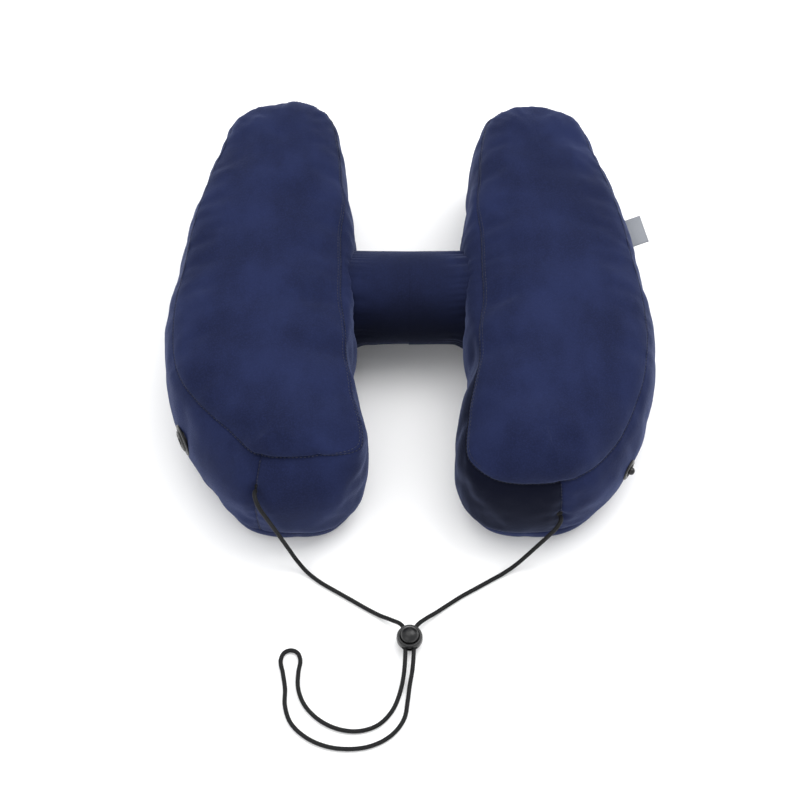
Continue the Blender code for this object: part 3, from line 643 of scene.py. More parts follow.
# ---------------------------------------------------------------- stage
AIM = Vector((-0.0115, -0.0520, 0.0))
CAMERA_PLACE, CAMERA_LENS = Vector((-0.0115, -0.8628, 1.2021)), 81.7
SKY_COLOUR, SKY_STRENGTH = (0.97, 0.985, 1.0, 1.0), 0.98
LAMPS = (("key", (0.90, 0.45, 1.60), 1.4, 21.0), ("top", (-0.35, 0.15, 1.9), 1.6, 13.0),
         ("front", (-1.0, -1.6, 1.1), 1.5, 8.0))       # name, place, size and power


def aimed(name, data, place):
    """An object at a place, turned towards the middle of the picture."""
    made = bpy.data.objects.new(name, data)
    made.location = place
    made.rotation_euler = (AIM - made.location).to_track_quat("-Z", "Y").to_euler()
    bpy.context.scene.collection.objects.link(made)
    return made


class PILLOW_OT_stage(bpy.types.Operator):
    """Lay the floor, hang the lights and aim the camera"""
    bl_idname = "pillow.stage"
    bl_label = "Stage"

    def execute(self, context):
        scene = context.scene
        bpy.ops.mesh.primitive_plane_add(size=14.0)
        floor = context.object
        floor.name = "floor"
        floor.data.materials.append(finish("floor"))
        scene.world = scene.world or bpy.data.worlds.new("studio")
        scene.world.use_nodes = True
        sky = scene.world.node_tree.nodes["Background"]
        sky.inputs["Color"].default_value = SKY_COLOUR
        sky.inputs["Strength"].default_value = SKY_STRENGTH
        for name, place, size, power in LAMPS:
            lamp = bpy.data.lights.new(name, "AREA")
            lamp.energy, lamp.size = power, size
            aimed(name, lamp, place)
        camera = bpy.data.cameras.new("camera")
        camera.lens, camera.sensor_width = CAMERA_LENS, 36.0
        scene.camera = aimed("camera", camera, CAMERA_PLACE)
        scene.view_settings.view_transform = "Standard"
        return {"FINISHED"}


# ---------------------------------------------------------------- drawcord
CARRIERS = 8            # strands of the braid that wind each way
BRAID_LAY = 0.0105      # length of one turn of a strand
CORD_SEGMENTS = 32
CORD_STEP = 0.00042


def braided_tube(name, route, diameter, relief):
    """A round braid along a smooth curve through the route, with its strands in relief."""
    fine = hermite(route, np.linspace(0, len(route) - 1, 60 * len(route)), False)
    run = np.concatenate([[0], np.cumsum(np.linalg.norm(np.diff(fine, axis=0), axis=1))])
    places = np.linspace(0, run[-1], int(run[-1] / CORD_STEP) + 1)
    path = np.column_stack([np.interp(places, run, fine[:, axis]) for axis in range(3)])
    for _ in range(12):
        path[1:-1] = (path[:-2] + 2 * path[1:-1] + path[2:]) / 4
    ahead = np.gradient(path, axis=0)
    ahead /= np.linalg.norm(ahead, axis=1, keepdims=True)
    side = np.cross(ahead, (0.0, 0.0, 1.0))
    for k in range(len(side)):                       # keep the frame from turning round the cord
        near = side[k - 1] if k else side[k]
        near = near - ahead[k] * (near @ ahead[k])
        side[k] = near / np.linalg.norm(near)
    up = np.cross(side, ahead)
    angle = np.arange(CORD_SEGMENTS) * 2 * math.pi / CORD_SEGMENTS
    lay = 2 * math.pi * places[:, None] / BRAID_LAY
    one, other = np.cos(CARRIERS / 2 * (angle - lay)), np.cos(CARRIERS / 2 * (angle + lay))
    over = np.sin(CARRIERS / 2 * angle + 0 * lay) * np.sin(CARRIERS / 2 * lay) > 0
    crown = np.where(over, np.abs(one), np.abs(other)) ** 0.7
    radius = diameter / 2 - relief * (1 - crown)
    end = np.minimum(places, places[-1] - places)[:, None]
    radius = radius * np.sqrt(np.clip(end / (diameter / 3), 0.04, 1))
    ring = np.cos(angle)[None, :, None] * side[:, None] + np.sin(angle)[None, :, None] * up[:, None]
    grid = path[:, None] + ring * radius[..., None]
    bm = bmesh.new()
    layer = bm.verts.layers.float.new("crown")
    rings = []
    for row, shine in zip(grid, crown):
        rings.append([bm.verts.new(point) for point in row])
        for vertex, value in zip(rings[-1], shine):
            vertex[layer] = value
    for low, high in zip(rings, rings[1:]):
        for i in range(CORD_SEGMENTS):
            j = (i + 1) % CORD_SEGMENTS
            bm.faces.new((low[i], high[i], high[j], low[j]))
    bm.faces.new(rings[0])
    bm.faces.new(rings[-1][::-1])
    bmesh.ops.recalc_face_normals(bm, faces=bm.faces)
    return new_piece(name, mesh_of(name, bm), "braid"), path


class PILLOW_OT_drawcord(bpy.types.Operator):
    """Braid the drawcord's two leads and its doubled tail"""
    bl_idname = "pillow.drawcord"
    bl_label = "Drawcord"

    def execute(self, context):
        sizes = context.scene.pillow_sizes
        for name, route, body in (("drawcord_left", LEFT_LEAD, "left_wing"),
                                  ("drawcord_right", RIGHT_LEAD, "right_wing"),
                                  ("drawcord_loop", TAIL, None)):
            piece, path = braided_tube(name, route, sizes.cord, sizes.braid_relief)
            node = {"left_wing": "drawcord_left_lead", "right_wing": "drawcord_right_lead"}
            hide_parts(node.get(body, "drawcord_tail"))
            if body:
                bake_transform(piece)
            else:
                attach(piece, "bridge")
        return {"FINISHED"}


# ---------------------------------------------------------------- ball lock
def lock_passage(name, matrix):
    plan = ((-0.0054, -0.012), (0.0054, -0.012), (0.0054, -0.001), (0.0086, 0.012),
            (-0.0086, 0.012), (-0.0054, -0.001))
    bm = bmesh.new()
    foot, head = ([bm.verts.new(matrix @ Vector((x, y, z))) for x, y in plan] for z in (0.0066, 0.0106))
    bm.faces.new(foot[::-1])
    bm.faces.new(head)
    for i in range(len(plan)):
        j = (i + 1) % len(plan)
        bm.faces.new((foot[i], foot[j], head[j], head[i]))
    bmesh.ops.recalc_face_normals(bm, faces=bm.faces)
    return mesh_of(name, bm)


class PILLOW_OT_ball_lock(bpy.types.Operator):
    """Mould the ball lock and its push button"""
    bl_idname = "pillow.ball_lock"
    bl_label = "Ball lock"

    def execute(self, context):
        at = Matrix.Translation(LOCK)
        radius, centre, rim, bore, floor = 0.0096, 0.0092, 0.0130, 0.0070, 0.0016
        heights = centre + radius * np.sin(np.linspace(math.asin((0 - centre) / radius),
                                                       math.asin((rim - centre) / radius), 30))
        groove = 0.00018 * np.exp(-((heights - centre) / 0.00035) ** 2)
        ball = [(math.sqrt(max(radius ** 2 - (z - centre) ** 2, 0)) - g, float(z))
                for z, g in zip(heights, groove)]
        mouth = rounded([ball[-1], (bore, rim), (bore, floor), (0.0, floor), (0.0, 0.0), ball[0]], 0.0006)
        body = new_piece("cord_lock", lathe("cord_lock", at, [*ball[1:-1], *mouth]), "plastic")
        carve(body, (lock_passage("passage", at), "DIFFERENCE"))
        hand_over(body, "cord_lock", "black_plastic", "cord_lock_body")
        foot, shoulder, top, stem = 0.0054, 0.0136, 0.0186, 0.0067
        dome = [(stem * math.cos(a), shoulder + (top - shoulder) * math.sin(a))
                for a in np.linspace(0, math.pi / 2, 19)[:-1]]
        outline = [(0.0, foot), (stem, foot), *dome, (0.0, top)]
        button = new_piece("lock_button", lathe("lock_button", at, outline), "plastic")
        window = box_mesh("window", at, (0.0110, 0.020, 0.0064), (0, 0, 0.0098))
        carve(button, (window, "DIFFERENCE"))
        hand_over(button, "lock_button", "black_plastic", "cord_lock_button")
        return {"FINISHED"}


# ---------------------------------------------------------------- wing covers
COLUMNS_PER_STATION = 18
WING_SEED = {"left": 3.0, "right": 17.0}
BESIDE_JOIN = (0.012, 0.030, 0.055)            # stations from an upright seam to its nearest columns
CLOTH_CREASE = math.radians(60)                # angle from which a fold of velour is a sharp edge
FILL_FRAMES = 16
FILL_CAP = 0.0045       # how far the filling may push the velour


def spacing(reach, both_ends):
    """Shares from 0 to 1 across a panel, half a millimetre apart at a seam and wider away from it."""
    places, step = [0.0], 0.0005
    while places[-1] < (reach / 2 if both_ends else reach):
        places.append(places[-1] + step)
        step = min(step * 1.25, 0.0027)
    shares = np.array(places) / places[-1]
    return np.concatenate([shares / 2, 1 - shares[-2::-1] / 2]) if both_ends else shares


def fine_heights():
    base = 1 - spacing(0.065, False)[::-1]
    side = 1 + spacing(0.078, True)
    top = 2 + spacing(0.065, False)
    return np.concatenate([base, side[1:], top[1:]])


def fine_columns(side):
    """Station numbers of the cover's columns, closer together at the upright seams."""
    join = FRONT_JOIN[side] - STATIONS
    seams = (join, -join, FAR_JOIN)
    even = (np.arange(COLUMNS_PER_STATION * STATIONS) + 0.5) / COLUMNS_PER_STATION
    def gap(t, seam):
        return np.abs((t - seam + STATIONS / 2) % STATIONS - STATIONS / 2)
    even = [t for t in even if min(gap(t, seam) for seam in seams) > BESIDE_JOIN[-1] + 0.02]
    extra = [(seam + sign * off) % STATIONS for seam in seams for off in BESIDE_JOIN for sign in (-1, 1)]
    return np.array(sorted([*even, *extra]))


def closed_index(rows, columns):
    """Vertex numbers of a wing's grid, where both ends' rows meet themselves along the middle line."""
    index = np.arange(rows * columns).reshape(rows, columns)
    for row in (0, -1):
        index[row] = index[row][np.minimum(np.arange(columns), columns - 1 - np.arange(columns))]
    return index


def closed_wing(name, grid, side):
    """One closed mesh over a whole wing's grid, and the vertex of each grid point."""
    rows, columns = grid.shape[:2]
    index = closed_index(rows, columns)
    used, inverse = np.unique(index, return_inverse=True)
    inverse = inverse.reshape(rows, columns)
    right = np.roll(inverse, -1, axis=1)
    quads = np.stack([inverse[:-1], inverse[1:], right[1:], right[:-1]], -1).reshape(-1, 4)
    if side == "left":
        quads = quads[:, ::-1]
    faces = [tuple(dict.fromkeys(quad)) for quad in quads.tolist()]
    mesh = bpy.data.meshes.new(name)
    mesh.from_pydata(grid.reshape(-1, 3)[used].tolist(), [], faces)
    mesh.update()
    return mesh, inverse


def grid_normals(grid, side):
    mesh, inverse = closed_wing("measure", grid, side)
    found = np.zeros(len(mesh.vertices) * 3, np.float32)
    mesh.vertices.foreach_get("normal", found)
    bpy.data.meshes.remove(mesh)
    return found.reshape(-1, 3)[inverse].astype(float)


def smoothed(field, times):
    """A grid of values with each one drawn towards its neighbours."""
    for _ in range(times):
        field = (np.roll(field, 1, axis=1) + 2 * field + np.roll(field, -1, axis=1)) / 4
        field[1:-1] = (field[:-2] + 2 * field[1:-1] + field[2:]) / 4
    return field


def bridge_distance(points):
    return np.hypot(points[..., 1] - BRIDGE_CENTRE.y, points[..., 2] - BRIDGE_CENTRE.z)


def filled(side, t, heights):
    """What air pressure does to the sewn cover: creases off the seams, as moves of the fine grid."""
    coarse_t = (np.arange(10 * STATIONS) + 0.5) / 10
    coarse_h = np.concatenate([np.linspace(0, 1, 10), np.linspace(1, 2, 18)[1:], np.linspace(2, 3, 17)[1:]])
    grid = wing_grid(side, coarse_t, coarse_h)
    mesh, inverse = closed_wing("filling", grid, side)
    body = bpy.data.objects.new("filling", mesh)
    bpy.context.scene.collection.objects.link(body)
    seams = body.vertex_groups.new(name="seams")
    join = [FRONT_JOIN[side] - STATIONS, FRONT_JOIN[side], FAR_JOIN]
    for r, height in enumerate(coarse_h):
        for c, station in enumerate(coarse_t):
            upright = 1 <= height <= 2 and min(abs(station - j) for j in join) < 0.06
            at_bridge = 1 < height < 2 and station < FAR_JOIN and bridge_distance(grid[r, c]) < 0.038
            if height in (1, 2) or upright or at_bridge:
                seams.add([int(inverse[r, c])], 1.0, "REPLACE")
    cloth = body.modifiers.new("air", "CLOTH")
    settings = cloth.settings
    settings.quality = 6
    settings.mass = 0.15
    settings.tension_stiffness = settings.compression_stiffness = 18
    settings.shear_stiffness = 6
    settings.bending_stiffness = 0.12
    settings.use_pressure = True
    settings.uniform_pressure_force = 4.0
    settings.effector_weights.gravity = 0
    settings.vertex_group_mass = "seams"
    settings.pin_stiffness = 1.0
    settings.vertex_group_shrink = "seams"
    settings.shrink_min, settings.shrink_max = -0.035, 0.0
    cloth.collision_settings.use_collision = False
    scene = bpy.context.scene
    for step in range(1, FILL_FRAMES + 1):
        scene.frame_set(step)
    settle(body)
    blown = np.zeros(len(body.data.vertices) * 3, np.float32)
    body.data.vertices.foreach_get("co", blown)
    scene.frame_set(1)
    moves = blown.reshape(-1, 3)[inverse].astype(float) - grid
    bpy.data.objects.remove(body)
    creases = moves - smoothed(moves.copy(), 30)
    moves = creases + 0.08 * (moves - creases)
    long = np.linalg.norm(moves, axis=-1, keepdims=True)
    moves *= FILL_CAP / np.maximum(long, FILL_CAP)
    by_height = np.array([[np.interp(heights, coarse_h, moves[:, c, k]) for k in range(3)]
                          for c in range(len(coarse_t))])
    fine = np.array([[np.interp(t, coarse_t, by_height[:, k, r], period=STATIONS) for k in range(3)]
                     for r in range(len(heights))])
    return smoothed(fine.transpose(0, 2, 1), 4)


def pucker(places, pitch, seed):
    """Uneven gathers along a seam: -1 to 1 over places in metres."""
    wander = np.array([noise.noise(Vector((p * 27.0, seed, 0.4))) for p in places])
    strength = np.array([noise.noise(Vector((p * 48.0, seed + 9.0, 2.1))) for p in places])
    return np.sin(2 * math.pi * places / pitch + 9.0 * wander) * np.clip(0.6 + 1.6 * strength, 0.0, 1.5)


def clouds(points, scale, seed):
    shift = Vector((seed, 0.7 * seed, 0.0))
    flat = points.reshape(-1, 3) * scale
    return np.array([noise.noise(Vector(p) + shift) for p in flat]).reshape(points.shape[:-1])


def sewn_wing(side, sizes):
    """The finished cover of a wing as a grid, with its normals and how near each point is to a seam."""
    t, heights = fine_columns(side), fine_heights()
    grid = wing_grid(side, t, heights)
    normal = grid_normals(grid, side)
    bottom, top = int(np.argmin(np.abs(heights - 1))), int(np.argmin(np.abs(heights - 2)))
    rise = np.concatenate([np.zeros((1, len(t))),
                           np.cumsum(np.linalg.norm(np.diff(grid, axis=0), axis=-1), axis=0)])
    to_bottom, to_top = np.abs(rise - rise[bottom]), np.abs(rise - rise[top])
    around = np.concatenate([[0], np.cumsum(np.linalg.norm(np.diff(grid[top], axis=0), axis=-1))])
    per_station = around[-1] / STATIONS
    on_side = ((heights >= 1) & (heights <= 2))[:, None]
    upright = np.full(grid.shape[:2], 1.0)
    for join in (FRONT_JOIN[side], FRONT_JOIN[side] - STATIONS, FAR_JOIN):
        upright = np.minimum(upright, np.abs(t - join)[None, :] * per_station)
    upright = np.where(on_side, upright, np.hypot(upright, np.minimum(to_bottom, to_top) * 3))
    grid = grid + filled(side, t, heights)
    y = grid[top, :, 1]
    far = smoothstep(0.105, 0.165, y)
    seed = WING_SEED[side]
    height = np.zeros(grid.shape[:2])
    for away, row_seed, share in ((to_top, seed, 1.0), (to_bottom, seed + 5.0, 0.55)):
        strength = (sizes.side_gather + (sizes.far_gather - sizes.side_gather) * far) * share
        wide = pucker(around, 0.0125, row_seed) * np.exp(-away / 0.0150)
        tight = pucker(around, 0.0062, row_seed + 3.0) * np.exp(-away / 0.0050)
        height += strength * (0.65 * wide + 0.35 * tight)
        height -= sizes.seam_valley * np.exp(-(away / 0.0011) ** 2)
        height -= sizes.seam_roll * np.exp(-(away / 0.0065) ** 2)
    height -= sizes.seam_valley * 0.8 * np.exp(-(upright / 0.0011) ** 2)
    height -= sizes.seam_roll * 0.7 * np.exp(-(upright / 0.0060) ** 2)
    height += 0.00040 * np.exp(-upright / 0.008) * np.sin(rise * 2 * math.pi / 0.011 + seed)
    height += 0.00075 * clouds(grid, 22.0, seed) + 0.00028 * clouds(grid, 70.0, seed)
    ring = bridge_distance(grid) - BRIDGE_RADIUS
    beside = on_side & (t < FAR_JOIN)[None, :]
    turn = np.arctan2(grid[..., 2] - BRIDGE_CENTRE.z, grid[..., 1] - BRIDGE_CENTRE.y)
    folds = np.sin(17 * turn + 2.0 * np.sin(3 * turn + seed)) * 0.6 + 0.4 * np.sin(29 * turn + seed)
    drawn = np.exp(-np.maximum(ring, 0) / 0.0080) * beside
    height += drawn * (0.00060 * folds - 0.0010)
    for matrix, reach, depth in ((wall_matrix(side, *VALVE[side]), 0.0165, 0.0007),
                                 (wall_matrix(side, *CORD_HOLE[side]), 0.0050, 0.0016)):
        local = grid - np.array(matrix.translation)
        away = np.linalg.norm(local, axis=-1)
        height -= depth * np.exp(-(away / reach) ** 4)
    height[0], height[-1] = smoothed(height, 6)[1], height[-2]
    on_floor = smoothstep(0.0, 0.012, grid[..., 2])
    grid = grid + normal * (height * (0.15 + 0.85 * on_floor))[..., None]
    for row in (0, -1):
        grid[row] = (grid[row] + grid[row][::-1]) / 2
    grid[..., 2] = np.maximum(grid[..., 2], 0.0)
    nearest = np.minimum(np.minimum(to_top, to_bottom), upright)
    # The seam value is painted shade: darkest in the seam valleys and, at half strength, where the cover is
    # drawn in round the bridge.
    seam = np.maximum(np.exp(-(nearest / 0.0012) ** 2), 0.5 * drawn)
    return t, heights, grid, normal, seam, bottom, top


HEM = 0.0030            # how far a panel's edge is turned in at a seam
HEM_FOLD = 0.00135      # where that turn folds over
MIDDLE_ROWS = 14        # rows beside a wing's middle line that are evened out


def set_value(mesh, name, values):
    """Store one number for each vertex, for the finishes to read."""
    shade = mesh.attributes.new(name, "FLOAT", "POINT")
    shade.data.foreach_set("value", np.asarray(values, np.float32).ravel())


def where_shade_is_painted(points, piece):
    """Painted shade: 0 to 1, how far the velour is darkened to stand in for shade."""
    x, y, z = np.moveaxis(points, -1, 0)
    uneven = 0.10 * np.sin(55 * x + 3 * np.sin(40 * z)) + 0.06 * np.sin(130 * x + 90 * z)
    # The bridge sleeve: painted shade over its lower front, and a little all over.
    if piece.endswith("bridge_cover"):
        below = (BRIDGE_CENTRE.z + 0.010 - z) * 0.75 + (BRIDGE_CENTRE.y - y) * 0.65
        return 0.22 + 0.72 * smoothstep(-0.022, 0.032, below + 0.012 * uneven)
    # The right wing's inner band: painted shade growing towards its front.
    if piece == "right_inner_cover":
        return smoothstep(0.035, 0.120, -y + 0.02 * uneven)
    return 0 * y


def hemmed(fields, axis, start, end):
    """A panel's points, normals and seam values, with two rows turned in at each sewn end."""
    count = fields[0].shape[axis]
    picks = [0, 0] * start + list(range(count)) + [-1, -1] * end
    grid, normal, seam = (np.take(field, picks, axis=axis) for field in fields)
    depth = np.zeros(len(picks))
    if start:
        depth[:2] = HEM, HEM_FOLD
    if end:
        depth[-2:] = HEM_FOLD, HEM
    return grid - normal * (depth[:, None, None] if axis == 0 else depth[:, None]), normal, seam


def panel_piece(name, grid, normal, seam, hems, side, merge_middle):
    """A panel of velour with its edges turned in; hems names the sides of the grid that are sewn."""
    upright = "upright" in hems
    fields = hemmed((grid, normal, seam), 1, upright, upright)
    grid, normal, seam = hemmed(fields, 0, "low" in hems, "high" in hems)
    mesh = grid_mesh(name, grid, not upright, side == "left")
    set_value(mesh, "seam", seam)
    # Painted shade under the bridge and on the right wing's inner band.
    set_value(mesh, "painted_shade", where_shade_is_painted(grid, name))
    if merge_middle:
        bm = bmesh.new()
        bm.from_mesh(mesh)
        rows, columns = grid.shape[:2]
        first = merge_middle == "first"
        bm.verts.ensure_lookup_table()
        near = [bm.verts[row * columns + c] for c in range(columns)
                for row in (range(MIDDLE_ROWS) if first else range(rows - MIDDLE_ROWS, rows))]
        middle = [bm.verts[(0 if first else rows - 1) * columns + c] for c in range(columns)]
        bmesh.ops.remove_doubles(bm, verts=middle, dist=2e-5)
        for _ in range(40):
            bmesh.ops.smooth_vert(bm, verts=[v for v in near if v.is_valid], factor=0.5,
                                  use_axis_x=first, use_axis_y=first, use_axis_z=True)
        bm.to_mesh(mesh)
        bm.free()
    return new_piece(name, mesh, "velour")


HOLE_HEM, SLOT_HEM = 0.0022, 0.0020     # how far the edges of holes are turned in
HOLE_REACH = 0.030      # how far from its own face a round hole may cut


def open_round(piece, matrix, radius):
    """Cut a round hole through the panel about the Z axis of matrix, and turn its edge in."""
    bm = bmesh.new()
    bm.from_mesh(piece.data)
    inverse = matrix.inverted()
    local = {v: inverse @ v.co for v in bm.verts}
    inside = {v for v, at in local.items()
              if math.hypot(at.x, at.y) < radius and abs(at.z) < HOLE_REACH}
    gone = [f for f in bm.faces if all(v in inside for v in f.verts)]
    bmesh.ops.delete(bm, geom=gone, context="FACES")
    rim = {v for e in bm.edges if e.is_boundary for v in e.verts if v in local and v in inside}
    for v in rim | {v for v in inside if v.is_valid}:
        at = local[v]
        spread = radius / max(math.hypot(at.x, at.y), 1e-6)
        v.co = matrix @ Vector((at.x * spread, at.y * spread, at.z))
    edges = [e for e in bm.edges if e.is_boundary and all(v in rim for v in e.verts)]
    turned = bmesh.ops.extrude_edge_only(bm, edges=edges)["geom"]
    outward = matrix.to_3x3() @ Vector((0, 0, 1))
    inner_edge = [g for g in turned if isinstance(g, bmesh.types.BMVert)]
    bmesh.ops.translate(bm, vec=-outward * HOLE_HEM, verts=inner_edge)
    bmesh.ops.recalc_face_normals(bm, faces=bm.faces)
    bm.to_mesh(piece.data)
    bm.free()


def zip_centre():
    at = place_wing("right", [[*OUTER_ARC_CENTRE, 0]])[0]
    return Vector((at[0], at[1], 0))


def zip_matrix(angle, z):
    """A frame on the outer side's arc: X along the zip, Y up, Z outward."""
    angle += math.radians(TURN["right"])
    outward = Vector((math.cos(angle), math.sin(angle), 0))
    along = Vector((-math.sin(angle), math.cos(angle), 0))
    turn = Matrix((along, Vector((0, 0, 1)), outward)).transposed().to_4x4()
    return Matrix.Translation(zip_centre() + OUTER_ARC_RADIUS * outward + Vector((0, 0, z))) @ turn


def open_zip_slot(piece):
    """Cut the zip's slot out of the panel and turn the velour in along it."""
    centre, turn = zip_centre(), math.radians(TURN["right"])
    margin = math.radians(0.167)
    first, last = ZIP_START - margin + turn, ZIP_END + margin + turn
    bm = bmesh.new()
    bm.from_mesh(piece.data)
    local = {v: (math.atan2(v.co.y - centre.y, v.co.x - centre.x), v.co.z - ZIP_Z) for v in bm.verts}
    inside = {v for v, (a, z) in local.items() if first < a < last and abs(z) < ZIP_HALF}
    bmesh.ops.delete(bm, geom=[f for f in bm.faces if all(v in inside for v in f.verts)], context="FACES")
    rim = {v for e in bm.edges if e.is_boundary for v in e.verts if v in inside}
    for v in rim:
        a, z = local[v]
        to_end = min(a - first, last - a) * OUTER_ARC_RADIUS
        radius = math.hypot(v.co.x - centre.x, v.co.y - centre.y)
        if to_end < ZIP_HALF - abs(z):
            a = first if a - first < last - a else last
        else:
            z = math.copysign(ZIP_HALF, z)
        v.co = Vector((centre.x + radius * math.cos(a), centre.y + radius * math.sin(a), ZIP_Z + z))
    edges = [e for e in bm.edges if e.is_boundary and all(v in rim for v in e.verts)]
    turned = bmesh.ops.extrude_edge_only(bm, edges=edges)["geom"]
    for v in (g for g in turned if isinstance(g, bmesh.types.BMVert)):
        inward = (centre - v.co) * Vector((1, 1, 0))
        v.co += inward.normalized() * SLOT_HEM
    bmesh.ops.recalc_face_normals(bm, faces=bm.faces)
    bm.to_mesh(piece.data)
    bm.free()


seam_lines = {"left": {}, "right": {}}


class PILLOW_OT_wing_covers(bpy.types.Operator):
    """Sew and fill the four velour panels of each wing"""
    bl_idname = "pillow.wing_covers"
    bl_label = "Wing covers"

    def execute(self, context):
        sizes = context.scene.pillow_sizes
        for side in ("left", "right"):
            t, heights, grid, normal, seam, bottom, top = sewn_wing(side, sizes)
            wall = slice(bottom, top + 1)
            front_after = int(np.searchsorted(t, FRONT_JOIN[side]))
            far_after = int(np.searchsorted(t, FAR_JOIN))
            for after in (front_after, far_after):
                for field in (grid, normal):
                    mean = (field[wall, after - 1] + field[wall, after]) / 2
                    field[wall, after - 1] = field[wall, after] = mean
            inner = [*range(front_after, len(t)), *range(0, far_after)]
            outer = list(range(far_after, front_after))
            whole, all_round = list(range(len(t))), {"low", "high", "upright"}
            plans = (("top_cover", slice(top, None), whole, {"low"}, "last", "top_panel"),
                     ("base_cover", slice(0, bottom + 1), whole, {"high"}, "first", "bottom_panel"),
                     ("inner_cover", wall, inner, all_round, None, "inner_band"),
                     ("outer_cover", wall, outer, all_round, None, "outer_band"))
            for name, rows, columns, hems, middle, node in plans:
                piece = panel_piece(f"{side}_{name}", grid[rows][:, columns], normal[rows][:, columns],
                                    seam[rows][:, columns], hems, side, middle)
                if name == "inner_cover":
                    sign = 1 if side == "right" else -1
                    at_hinge = Matrix.Translation(BRIDGE_CENTRE + Vector((HINGE_X, 0, 0)) * sign)
                    across = Matrix.Rotation(math.radians(-90 * sign), 4, "Y")
                    open_round(piece, at_hinge @ across, BRIDGE_HOLE)
                if name == "outer_cover":
                    open_round(piece, wall_matrix(side, *VALVE[side]), VALVE_HOLE[side])
                    if side == "right":
                        open_zip_slot(piece)
                thickened(piece, sizes.cloth).data.set_sharp_from_angle(angle=CLOTH_CREASE)
                hand_over(piece, f"{side}_wing", "velour", f"{side}_{node}")
            lines = seam_lines[side]
            lines["top"] = (grid[top], normal[top])
            lines["base"] = (grid[bottom], normal[bottom])
            lines["front"] = (grid[wall, front_after], normal[wall, front_after])
            lines["far"] = (grid[wall, far_after], normal[wall, far_after])
            beside = slice(3 * COLUMNS_PER_STATION // 2, far_after)
            lines["topstitch"] = (grid[top + 4, beside], normal[top + 4, beside])
        return {"FINISHED"}


# ---------------------------------------------------------------- bridge sleeve
SLEEVE_SEED = {"left": 1.3, "right": 4.1}


class PILLOW_OT_bridge_sleeve(bpy.types.Operator):
    """Draw the round velour sleeve over the bridge, gathered where it is sewn to the wings"""
    bl_idname = "pillow.bridge_sleeve"
    bl_label = "Bridge sleeve"

    def execute(self, context):
        sizes = context.scene.pillow_sizes
        around = np.linspace(0, 2 * math.pi, 241)[:-1]
        for side, sign in (("left", -1), ("right", 1)):
            places = np.concatenate([np.linspace(0, 0.028, 18), np.linspace(0.028, 0.058, 52)[1:]])
            rows, shade = [], []
            seed = SLEEVE_SEED[side]
            for x in places:
                near = smoothstep(0.012, 0.044, x)
                y, z = np.cos(around), np.sin(around)
                below = smoothstep(0.1, 1.3, -0.8 * z - 0.8 * y)
                flare = 0.0050 * smoothstep(0.030, 0.0475, x) ** 2.2 * below
                folds = np.sin(11 * around + 2.6 * np.sin(2 * around + seed) + 9 * x * sign)
                fine = np.sin(37 * around + 3.2 * np.sin(4 * around + seed) + 120 * x)
                swell = np.array([noise.noise(Vector((x * 26 * sign, 1.1 * cy, 1.1 * cz + seed)))
                                  for cy, cz in zip(y, z)])
                radius = (BRIDGE_RADIUS - 0.0007 + flare
                          + near ** 2 * (0.00050 * folds + 0.00030 * fine * (1 if side == "right" else 0.5))
                          + swell * (0.0007 + 0.0007 * near))
                rows.append(np.column_stack([np.full(len(around), BRIDGE_CENTRE.x + sign * x),
                                             BRIDGE_CENTRE.y + radius * y, BRIDGE_CENTRE.z + radius * z]))
                # Painted shade at the sleeve's ends, where it meets the wings, kept as its seam value.
                shade.append(np.full(len(around), float(smoothstep(0.0375, 0.0470, x))) * 0.6)
            rows = np.array(rows)
            mesh = grid_mesh(f"{side}_bridge_cover", rows, True, side == "left")
            set_value(mesh, "seam", np.array(shade))
            # Painted shade over the sleeve's lower front.
            set_value(mesh, "painted_shade", where_shade_is_painted(rows, mesh.name))
            piece = new_piece(f"{side}_bridge_cover", mesh, "velour")
            thickened(piece, sizes.cloth).data.set_sharp_from_angle(angle=CLOTH_CREASE)
            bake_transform(piece)
            if side == "left":
                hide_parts("bridge_sleeve")
        return {"FINISHED"}


# ---------------------------------------------------------------- stitches
ROW_TREE = "row of threads"
STITCH_SHARE = 0.66     # length of a stitch as a share of its pitch
COIL_SHARE, COIL_THICK = 0.72, 0.0015


